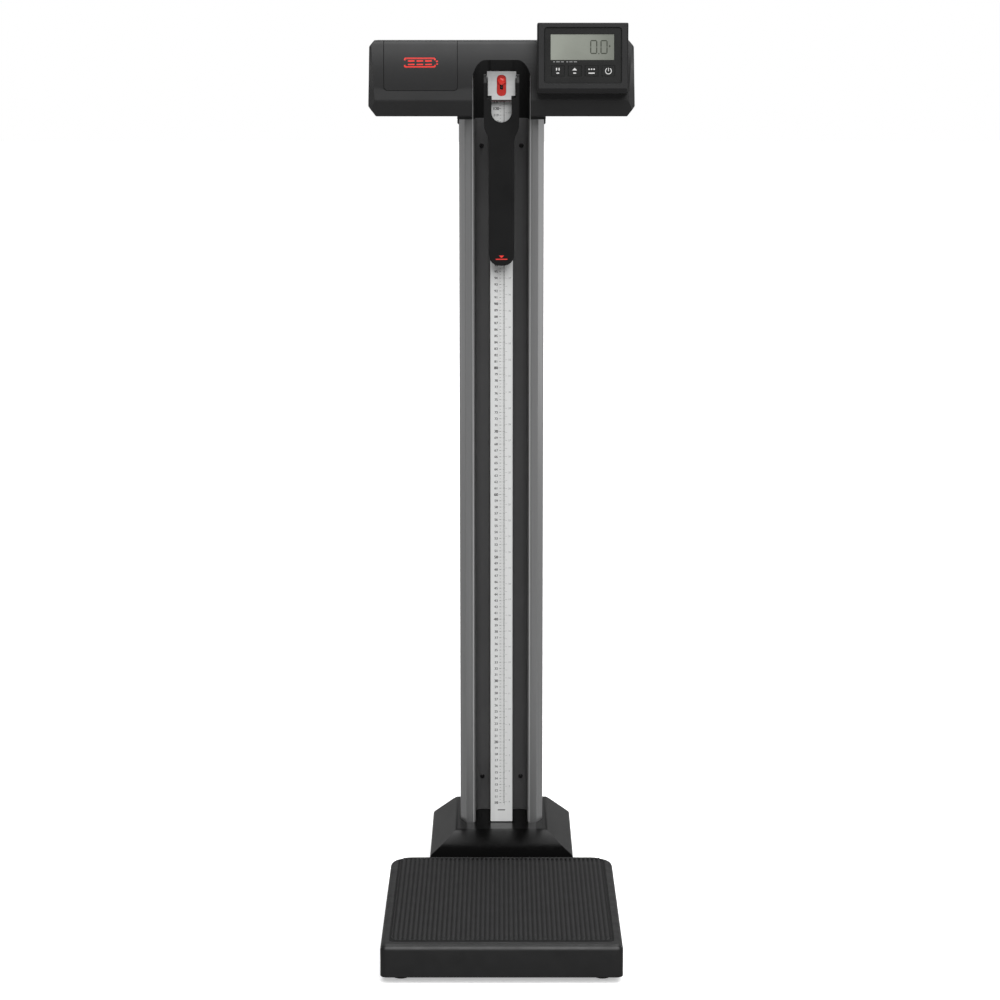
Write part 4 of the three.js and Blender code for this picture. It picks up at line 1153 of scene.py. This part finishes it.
class HeadpieceOperator(bpy.types.Operator):
    """Carriage, silver plate, red button in its track, its spring, and the measuring tongue."""
    bl_idname = "column_scale.headpiece"
    bl_label = "Headpiece"

    def execute(self, context):
        black = moulded("carriage_black", (0.012, 0.012, 0.0125), 0.45)
        silver = drawn_metal("plate_satin", (0.76, 0.765, 0.76), 0.42, (0.02, 1.0, 1.0), 0.000006, 0.0, 0.35)
        red = red_enamel("track_red", np.array(colours().signal_red) * 0.62, 0.35)
        bright = red_enamel("button_red", colours().signal_red, 0.25)
        softened("slide_carriage", black, 0.6 * MM, steps=2)
        softened("carriage_plate", silver, 0.5 * MM, steps=3)
        softened("button_track", red, 0.3 * MM, steps=2)
        self.button(bright)
        self.spring()
        tongue = moulded("tongue_black", colours().tongue, 0.40, grain=1700, depth=0.00004)
        softened("measuring_tongue", tongue, 1.3 * MM, angle=30, steps=4)
        self.reading_line()
        self.tongue_mark()
        return {"FINISHED"}

    def button(self, finish):
        """A turned knob with a domed face, on a stem through the track to the pawl behind it."""
        low, high = span_of("lock_button")
        radius = (high[0] - low[0]) / 2
        middle_z = low[2] + radius
        face = low[1]
        profile = [(0.0, 0.0), (radius * 0.35, 0.1 * MM), (radius * 0.65, 0.35 * MM),
                   (radius * 0.86, 0.8 * MM), (radius * 0.97, 1.4 * MM), (radius, 2.0 * MM), (radius, 2.7 * MM),
                   (0.0, 2.7 * MM)]
        sections = turned(profile, (0, face, middle_z), (0, 1, 0), 48)
        knob = sections.reshape(-1, 3), ring_faces(len(profile), 48)
        stem = blocks(np.array([-2.2 * MM, face + 2.4 * MM, middle_z - 3 * MM]),
                      np.array([2.2 * MM, face + 9.1 * MM, middle_z + 3 * MM]))
        pawl = blocks(np.array([-4.2 * MM, face + 7.1 * MM, middle_z - 3 * MM]),
                      np.array([4.2 * MM, high[1], high[2] - 1.4 * MM]))
        vertices, faces = stacked([knob, stem, pawl])
        place(mesh_from("lock_button_knob", vertices, faces), finish, "button", "red_button", "lock_button")

    def spring(self):
        """A helix of five turns with a round wire carried along it. It stands on the carriage."""
        low, high = span_of("lock_spring")
        middle = (low + high) / 2
        turn = np.linspace(0, 5 * 2 * np.pi, 160)
        wire = 0.4 * MM
        path = np.column_stack([middle[0] + 2.6 * MM * np.cos(turn), middle[1] + 1.9 * MM * np.sin(turn),
                                np.linspace(low[2] + wire, high[2] - wire, len(turn))])
        finish = plated("spring_wire", (0.55, 0.55, 0.56), 0.2)
        coil = place(loft("lock_spring_coil", tube_sections(path, wire, 8)), finish, "carriage",
                     "spring_steel", "lock_spring")
        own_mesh(coil)

    def reading_line(self):
        """The dark reading edge under the silver plate, with a fine red thread on it."""
        low, high = span_of("carriage_plate")
        web = span_of("slide_carriage")[0][2]
        line_z = low[2] - 1.1 * MM
        front = low[1] + 0.3 * MM
        edge = blocks(np.array([-15.6 * MM, front, line_z - 0.9 * MM]),
                      np.array([15.6 * MM, front + 3 * MM, line_z + 1.2 * MM]))
        black = ink("reading_edge_black", (0.01, 0.01, 0.01), 0.4)
        place(mesh_from("reading_edge", *edge), black, "carriage", "carriage_plastic")
        thread = blocks(np.array([-15.4 * MM, front - 0.05 * MM, line_z - 0.95 * MM]),
                        np.array([15.4 * MM, front + 0.1 * MM, line_z - 0.75 * MM]))
        red = ink("reading_thread_red", np.array(colours().signal_red) * 0.25, 0.4)
        place(mesh_from("reading_thread", *thread), red, "carriage", "red_plastic")
        if web > line_z:
            raise ValueError("the carriage's web reaches the window")

    def tongue_mark(self):
        """A small red arrow head with a bar, at the tongue's tip."""
        low, _ = span_of("measuring_tongue")
        face, middle_z = low[1], low[2] + 12.5 * MM
        lift = sizes().print_height
        bar = blocks(np.array([-9 * MM, face - lift, middle_z - 3.2 * MM]),
                     np.array([9 * MM, face + 0.02 * MM, middle_z - 1.8 * MM]))
        flat = np.array([(-4 * MM, face - lift, middle_z + 3.2 * MM),
                         (4 * MM, face - lift, middle_z + 3.2 * MM), (0, face - lift, middle_z - 0.6 * MM)])
        vertices, faces = stacked([bar, (flat, [[0, 2, 1]])])
        red = ink("tongue_mark_red", colours().signal_red)
        place(flat_print("tongue_mark", vertices, faces), red, "tongue", "tongue_plastic")


# ---------------------------------------------------------------- head

class HeadOperator(bpy.types.Operator):
    """Head shells, battery cover with its pictogram, battery tray and cells, and the inlet."""
    bl_idname = "column_scale.head"
    bl_label = "Head"

    sill: bpy.props.FloatProperty(
        name="Sill", description="Height where the head's face meets its undercut",
        default=1.230, unit="LENGTH")
    lean: bpy.props.FloatProperty(
        name="Lean", description="How far the face leans back from sill to top", default=0.006, unit="LENGTH")
    swell: bpy.props.FloatProperty(
        name="Swell", description="How far the face is crowned at half height", default=0.0044, unit="LENGTH")

    def execute(self, context):
        shell = moulded("head_charcoal", colours().head, 0.46, grain=1600, depth=0.00005, specular=0.36)
        softened("head_front", shell, sizes().shell_edge, angle=32, shape=self.crowned)
        softened("head_rear", shell, sizes().shell_edge, angle=32)
        softened("battery_cover", shell, 0.9 * MM, angle=32, shape=self.crowned)
        self.pictogram()
        tray = moulded("tray_black", (0.018, 0.018, 0.018), 0.55)
        softened("battery_tray", tray, 0.5 * MM, steps=2)
        self.cells()
        socket = satin_black("socket_black", (0.012, 0.012, 0.012))
        softened("dc_socket", socket, 0.4 * MM, steps=2)
        self.rear_screws()
        return {"FINISHED"}

    def crown(self, z):
        """How far the face swells in front of its flat line between the door's hinge and the top: a
        parabola that is zero at both and full at half height."""
        hinge = span_of("battery_cover")[0][2] + 1 * MM
        share = np.clip((z - hinge) / (span_of("head_front")[1][2] - hinge), 0, 1)
        return 4 * self.swell * share * (1 - share)

    def face_y(self, z):
        """The front face leans back evenly from its sill to its top, less its crown."""
        low, high = span_of("head_front")
        return low[1] + self.lean * np.clip((z - self.sill) / (high[2] - self.sill), 0, 1) - self.crown(z)

    def crowned(self, work):
        """Cuts the shell into level bands and moves the front wall's points forward by the crown."""
        low, high = span_of("head_front")
        hinge = span_of("battery_cover")[0][2] + 1 * MM
        for level in np.linspace(hinge, high[2], 12)[:-1]:
            cut = work.verts[:] + work.edges[:] + work.faces[:]
            bmesh.ops.bisect_plane(work, geom=cut, plane_co=(0, 0, level), plane_no=(0, 0, 1), dist=1e-6)
        front = [vertex for vertex in work.verts if vertex.co.y < low[1] + 14 * MM]
        places = np.array([tuple(vertex.co) for vertex in front])
        flat = low[1] + self.lean * np.clip((places[:, 2] - self.sill) / (high[2] - self.sill), 0, 1)
        depth = np.clip((places[:, 1] - flat - 3.2 * MM) / (6 * MM), 0, 1)
        moved = places[:, 1] - self.crown(places[:, 2]) * (1 - depth)
        for vertex, y in zip(front, moved):
            vertex.co.y = y

    def pictogram(self):
        """A plain battery sign in red on the cover: a frame, a nub and three bars."""
        centre_x, centre_z = -123.5 * MM, 1.287
        width, height, stroke = 48 * MM, 15 * MM, 2.2 * MM
        outer = rounded_rectangle(centre_x - width / 2, centre_x + width / 2, centre_z - height / 2,
                                  centre_z + height / 2, 2.6 * MM, 5)
        inner = inset(outer, stroke)
        lift = 0.12 * MM
        on_face = lambda flat, out: np.column_stack([flat[:, 0], self.face_y(flat[:, 1]) - out, flat[:, 1]])
        sunk = -0.1 * MM
        frame_rows = np.stack([on_face(outer, sunk), on_face(outer, lift), on_face(inner, lift),
                               on_face(inner, sunk)])
        parts = [(frame_rows.reshape(-1, 3), ring_faces(4, len(outer), closed_path=True))]
        bars = [rounded_rectangle(centre_x + dx - 5 * MM, centre_x + dx + 5 * MM, centre_z - 3.6 * MM,
                                  centre_z + 3.6 * MM, 0.6 * MM, 3) for dx in (-13 * MM, 0, 13 * MM)]
        bars.append(rounded_rectangle(centre_x + width / 2 + 0.4 * MM, centre_x + width / 2 + 3.4 * MM,
                                      centre_z - 3 * MM, centre_z + 3 * MM, 0.6 * MM, 3))
        for bar in bars:
            rows = np.stack([on_face(bar, sunk), on_face(bar, lift)])
            parts.append((rows.reshape(-1, 3), ring_faces(2, len(bar))))
        vertices, faces = stacked(parts)
        red = ink("pictogram_red", colours().signal_red, 0.45)
        place(mesh_from("battery_pictogram", vertices, faces), red, "battery_door", "red_plastic")

    def cells(self):
        """Six cells side by side: a turned can with a crimped shoulder and a contact button."""
        low, high = span_of("battery_tray")
        jacket = red_enamel("cell_jacket_blue", (0.02, 0.05, 0.16), 0.3)
        tip = plated("cell_contact", (0.7, 0.7, 0.7), 0.2)
        radius, length = 7.1 * MM, 49 * MM
        pitch = 15.6 * MM
        middle_x = (low[0] + high[0]) / 2
        body = [(0.0, 0.0), (radius * 0.7, 0.0), (radius * 0.85, 0.5 * MM), (radius, 1.2 * MM),
                (radius, length - 1.4 * MM), (radius * 0.88, length - 0.4 * MM), (radius * 0.6, length),
                (0.0, length)]
        button = [(0.0, length + 0.05 * MM), (2.6 * MM, length + 0.05 * MM), (2.6 * MM, length + 1.0 * MM),
                  (2.2 * MM, length + 1.3 * MM), (0.0, length + 1.3 * MM)]
        for index in range(6):
            x = middle_x + (index - 2.5) * pitch
            foot = (x, high[1] - 16 * MM, low[2] + 8 * MM)
            can = loft(f"battery_cell_{index + 1}", turned(body, foot, (0, 0, 1), 32))
            place(can, jacket, "root", "tray_plastic")
            contact = loft(f"battery_contact_{index + 1}", turned(button, foot, (0, 0, 1), 24))
            place(contact, tip, "root", "spring_steel")

    def rear_screws(self):
        """Four pan heads in the rear shell."""
        _, high = span_of("head_rear")
        black = powder_coat("shell_screw_black", (0.012, 0.012, 0.012), 0.35)
        for row, z in (("lower", 1.228), ("upper", 1.300)):
            for side, sign in zip(SIDES, (-1, 1)):
                seat = np.array((sign * 0.150, high[1] - 1.9 * MM, z))
                spare_screw(f"shell_screw_{row}_{side}", seat, black)


def spare_screw(name, seat, finish):
    """A flat disc head with a bevelled rim, let into the rear face."""
    profile = [(0.0, 1.85 * MM), (1.2 * MM, 1.85 * MM), (1.3 * MM, 0.9 * MM), (1.7 * MM, 0.9 * MM),
               (1.8 * MM, 1.85 * MM), (3.0 * MM, 1.8 * MM), (3.6 * MM, 1.3 * MM), (3.7 * MM, 0.0), (0.0, 0.0)]
    place(loft(name, turned(profile, seat, (0, 1, 0), 32)), finish, "root", "black_screw")


# ---------------------------------------------------------------- display

class DisplayOperator(bpy.types.Operator):
    """Display box with its panel, LCD figures, keys and their signs."""
    bl_idname = "column_scale.display"
    bl_label = "Display"

    lean: bpy.props.FloatProperty(
        name="Lean", description="How far the display leans back",
        default=math.atan(6 / 90.5), subtype="ANGLE")

    def execute(self, context):
        box = moulded("display_charcoal", colours().display, 0.42, grain=1600, depth=0.00005)
        film = moulded("panel_film", colours().panel, 0.38, grain=2200, depth=0.00002)
        self.across = np.array((1.0, 0.0, 0.0))
        self.out = np.array((0.0, -math.cos(self.lean), math.sin(self.lean)))
        self.up = np.array((0.0, math.sin(self.lean), math.cos(self.lean)))
        self.housing(box)
        softened("display_back", box, 0.6 * MM, steps=2)
        softened("display_panel", film, 0.12 * MM, steps=1)
        softened("lcd", reflective_lcd("lcd_reflector", colours().lcd), 0.2 * MM, steps=1)
        for name in ("hold", "tare", "mode", "power"):
            softened(f"key_{name}", film, 0.12 * MM, steps=1)
        self.figures()
        self.signs()
        self.tick_row()
        return {"FINISHED"}

    def local_span(self, node):
        """A node's reach across, up and out of the display's face, as lowest and highest."""
        vertices = frame["nodes"][node].data.vertices
        places = np.empty(len(vertices) * 3)
        vertices.foreach_get("co", places)
        local = places.reshape(-1, 3) @ np.stack([self.across, self.up, self.out]).T
        return local.min(axis=0), local.max(axis=0)

    def at(self, flat, out):
        """Points given across and up the display's face, at a distance out along its normal."""
        out = np.broadcast_to(out, len(flat))
        return flat[:, :1] * self.across + flat[:, 1:2] * self.up + out[:, None] * self.out

    def housing(self, finish):
        """One skin carried round the box: up its outside, over its rim, level to a small step, down a
        sloped reveal to the panel and back along its inside. The rim's lower strip falls away in a bevel,
        whose depth grows in proportion to the distance below its upper line."""
        low, high = self.local_span("display_housing")
        panel_low, panel_high = self.local_span("display_panel")
        face, back = high[2], low[2]
        steps = 5
        outer = rounded_rectangle(low[0], high[0], low[1], high[1], 2 * MM, steps)
        gap = 0.3 * MM
        opening = lambda grow, radius: rounded_rectangle(
            panel_low[0] - gap - grow, panel_high[0] + gap + grow, panel_low[1] - gap - grow,
            panel_high[1] + gap + grow, radius, steps)
        reveal, brow = opening(0, 4 * MM), opening(1.3 * MM, 5 * MM)
        inner = inset(outer, 2.4 * MM)
        edge = 0.9 * MM
        bevel_top, bevel_depth = low[1] + 7.2 * MM, 4.6 * MM
        bevel = lambda flat: np.clip((bevel_top - flat[:, 1]) / (bevel_top - low[1]), 0, 1) * bevel_depth
        rows = [(inner, back), (inset(outer, 0.4 * MM), back), (outer, back + 0.4 * MM),
                (outer, face - edge - bevel(outer))]
        for angle in np.linspace(0.35, np.pi / 2, 4):
            ring = inset(outer, edge * (1 - math.cos(angle)))
            rows.append((ring, face - edge * (1 - math.sin(angle)) - bevel(ring)))
        in_strip = outer[:, 1] < (low[1] + high[1]) / 2
        shelf = inset(outer, 2.2 * MM)
        shelf[in_strip, 1] = bevel_top
        rows += [(shelf, face), (brow, face), (reveal, face - 1.5 * MM), (reveal, face - 3.6 * MM),
                 (inner, face - 4.0 * MM)]
        sections = np.stack([self.at(flat, out) for flat, out in rows])
        mesh = loft("display_box", sections, 24, closed_path=True)
        place(mesh, finish, "root", "display_plastic", "display_housing")

    def stamped(self, outlines, out, rise):
        """Flat shapes raised from a face: each outline is carried from just under it to its rise."""
        parts = []
        for outline in outlines:
            rows = np.stack([self.at(outline, out - 0.02 * MM), self.at(outline, out + rise)])
            parts.append((rows.reshape(-1, 3), ring_faces(2, len(outline))))
        return stacked(parts)

    def figures(self):
        """Two seven-bar figures drawn with their six outer bars, a point and a small unit mark, on the LCD."""
        low, high = self.local_span("lcd")
        width, height = high[0] - low[0], high[1] - low[1]
        digit_width, digit_height, stroke, pitch = 0.112 * width, 0.54 * height, 1.7 * MM, 0.162 * width
        left, bottom = low[0] + 0.622 * width, low[1] + 0.235 * height
        shoulder, gap = 0.7 * stroke, 0.45 * MM
        bars = []
        for digit in range(2):
            x0, z0 = left + digit * pitch, bottom
            x1, z1 = x0 + digit_width, z0 + digit_height
            middle = (z0 + z1) / 2
            bars += [(x0 + shoulder, x1 - shoulder, z0, z0 + stroke),
                     (x0 + shoulder, x1 - shoulder, z1 - stroke, z1)]
            for x in (x0, x1 - stroke):
                bars += [(x, x + stroke, z0 + shoulder + gap, middle - gap),
                         (x, x + stroke, middle + gap, z1 - shoulder - gap)]
        point = left + (digit_width + pitch) / 2
        bars.append((point - 0.8 * MM, point + 0.8 * MM, bottom - 0.3 * MM, bottom + 1.3 * MM))
        unit_x, unit_z = left + pitch + digit_width + 3.2 * MM, bottom + 0.56 * digit_height
        bars += [(unit_x - 1.4 * MM, unit_x + 1.4 * MM, unit_z - 0.5 * MM, unit_z + 0.5 * MM),
                 (unit_x - 0.6 * MM, unit_x + 0.6 * MM, unit_z - 1.6 * MM, unit_z + 1.8 * MM)]
        outlines = [rounded_rectangle(*bar, 0.35 * MM, 2) for bar in bars]
        dark = ink("lcd_segment", (0.045, 0.052, 0.036), 0.4)
        vertices, faces = self.stamped(outlines, high[2], 0.05 * MM)
        place(mesh_from("lcd_figures", vertices, faces), dark, "root", "lcd_glass")

    def signs(self):
        """A plain sign on each key: two posts over a bar, a triangle over a bar, three dots over a bar,
        and an open ring with an upright stroke."""
        white = ink("key_sign_white", (0.72, 0.72, 0.71))
        for name in ("hold", "tare", "mode", "power"):
            low, high = self.local_span(f"key_{name}")
            x, z = (low[0] + high[0]) / 2, (low[1] + high[1]) / 2
            bar = lambda dx, dz, width, height: rounded_rectangle(
                x + dx - width / 2, x + dx + width / 2, z + dz - height / 2, z + dz + height / 2,
                min(width, height) * 0.3, 2)
            foot = bar(0, -3.2 * MM, 4.4 * MM, 1.7 * MM)
            triangle = np.array([(x - 3.6 * MM, z + 0.8 * MM), (x + 3.6 * MM, z + 0.8 * MM),
                                 (x, z + 4.8 * MM)])
            shapes = {
                "hold": [bar(dx, 2.6 * MM, 1.7 * MM, 4.2 * MM) for dx in (-1.9 * MM, 1.9 * MM)] + [foot],
                "tare": [triangle, foot],
                "mode": [bar(dx, 2.6 * MM, 2.2 * MM, 2.2 * MM) for dx in (-3.8 * MM, 0.0, 3.8 * MM)]
                        + [bar(0, -3.2 * MM, 9.4 * MM, 1.7 * MM)],
                "power": [bar(0, 2.2 * MM, 1.1 * MM, 4.8 * MM)],
            }
            vertices, faces = self.stamped(shapes[name], high[2], 0.05 * MM)
            if name == "power":
                vertices, faces = stacked([(vertices, faces), self.open_ring(x, z, high[2])])
            place(mesh_from(f"sign_{name}", vertices, faces), white, f"key_{name}", "key_film")

    def open_ring(self, x, z, out):
        """A band of one width along an arc of 300 degrees that is open at the top."""
        angle = np.linspace(math.radians(120), math.radians(420), 40)
        radius, half = 4.4 * MM, 0.6 * MM
        spoke = np.column_stack([np.cos(angle), np.sin(angle)])
        corners = [(radius + half, -0.02 * MM), (radius + half, 0.05 * MM), (radius - half, 0.05 * MM),
                   (radius - half, -0.02 * MM)]
        rows = np.stack([self.at(spoke * r + (x, z), out + rise) for r, rise in corners], axis=1)
        return rows.reshape(-1, 3), ring_faces(len(angle), 4)

    def tick_row(self):
        """A row of short dashes under the LCD, where a display keeps its flags."""
        low, _ = self.local_span("lcd")
        high = self.local_span("display_panel")[1]
        grey = ink("panel_tick_grey", (0.26, 0.26, 0.26))
        lengths = np.array((2.6, 5.4, 4.2, 0.0, 2.8, 4.6, 4.8)) * MM
        starts = low[0] + 2 * MM + np.cumsum(lengths + 1.9 * MM) - lengths
        bottom, top = low[1] - 3.4 * MM, low[1] - 1.9 * MM
        outlines = [rounded_rectangle(start, start + length, bottom, top, 0.4 * MM, 2)
                    for start, length in zip(starts, lengths) if length > 0]
        vertices, faces = self.stamped(outlines, high[2], 0.05 * MM)
        place(mesh_from("panel_tick_row", vertices, faces), grey, "root", "panel_plastic")


# ---------------------------------------------------------------- panel and registration

class ScalePanel(bpy.types.Panel):
    """Sizes, finishes and one button for each operator."""
    bl_idname = "VIEW3D_PT_column_scale"
    bl_label = "Column Scale"
    bl_space_type = "VIEW_3D"
    bl_region_type = "UI"
    bl_category = "Column Scale"

    def draw(self, context):
        for group in (context.scene.scale_sizes, context.scene.scale_finishes):
            column = self.layout.column(align=True)
            for key in group.bl_rna.properties.keys():
                if key not in {"rna_type", "name"}:
                    column.prop(group, key)
        for operator in OPERATORS:
            self.layout.operator(operator.bl_idname)


OPERATORS = (StageOperator, BaseOperator, PlatformOperator, FeetOperator, WheelsOperator, ColumnOperator,
             RuleOperator, HeadpieceOperator, HeadOperator, DisplayOperator)
CLASSES = (ScaleSizes, ScaleFinishes, *OPERATORS, ScalePanel)


def register():
    for cls in CLASSES:
        bpy.utils.register_class(cls)
    bpy.types.Scene.scale_sizes = bpy.props.PointerProperty(type=ScaleSizes)
    bpy.types.Scene.scale_finishes = bpy.props.PointerProperty(type=ScaleFinishes)


def unregister():
    del bpy.types.Scene.scale_finishes
    del bpy.types.Scene.scale_sizes
    for cls in reversed(CLASSES):
        bpy.utils.unregister_class(cls)


def main():
    register()
    for operator in OPERATORS:
        group, name = operator.bl_idname.split(".")
        getattr(getattr(bpy.ops, group), name)()
    bpy.context.view_layer.update()


if __name__ == "__main__":
    main()
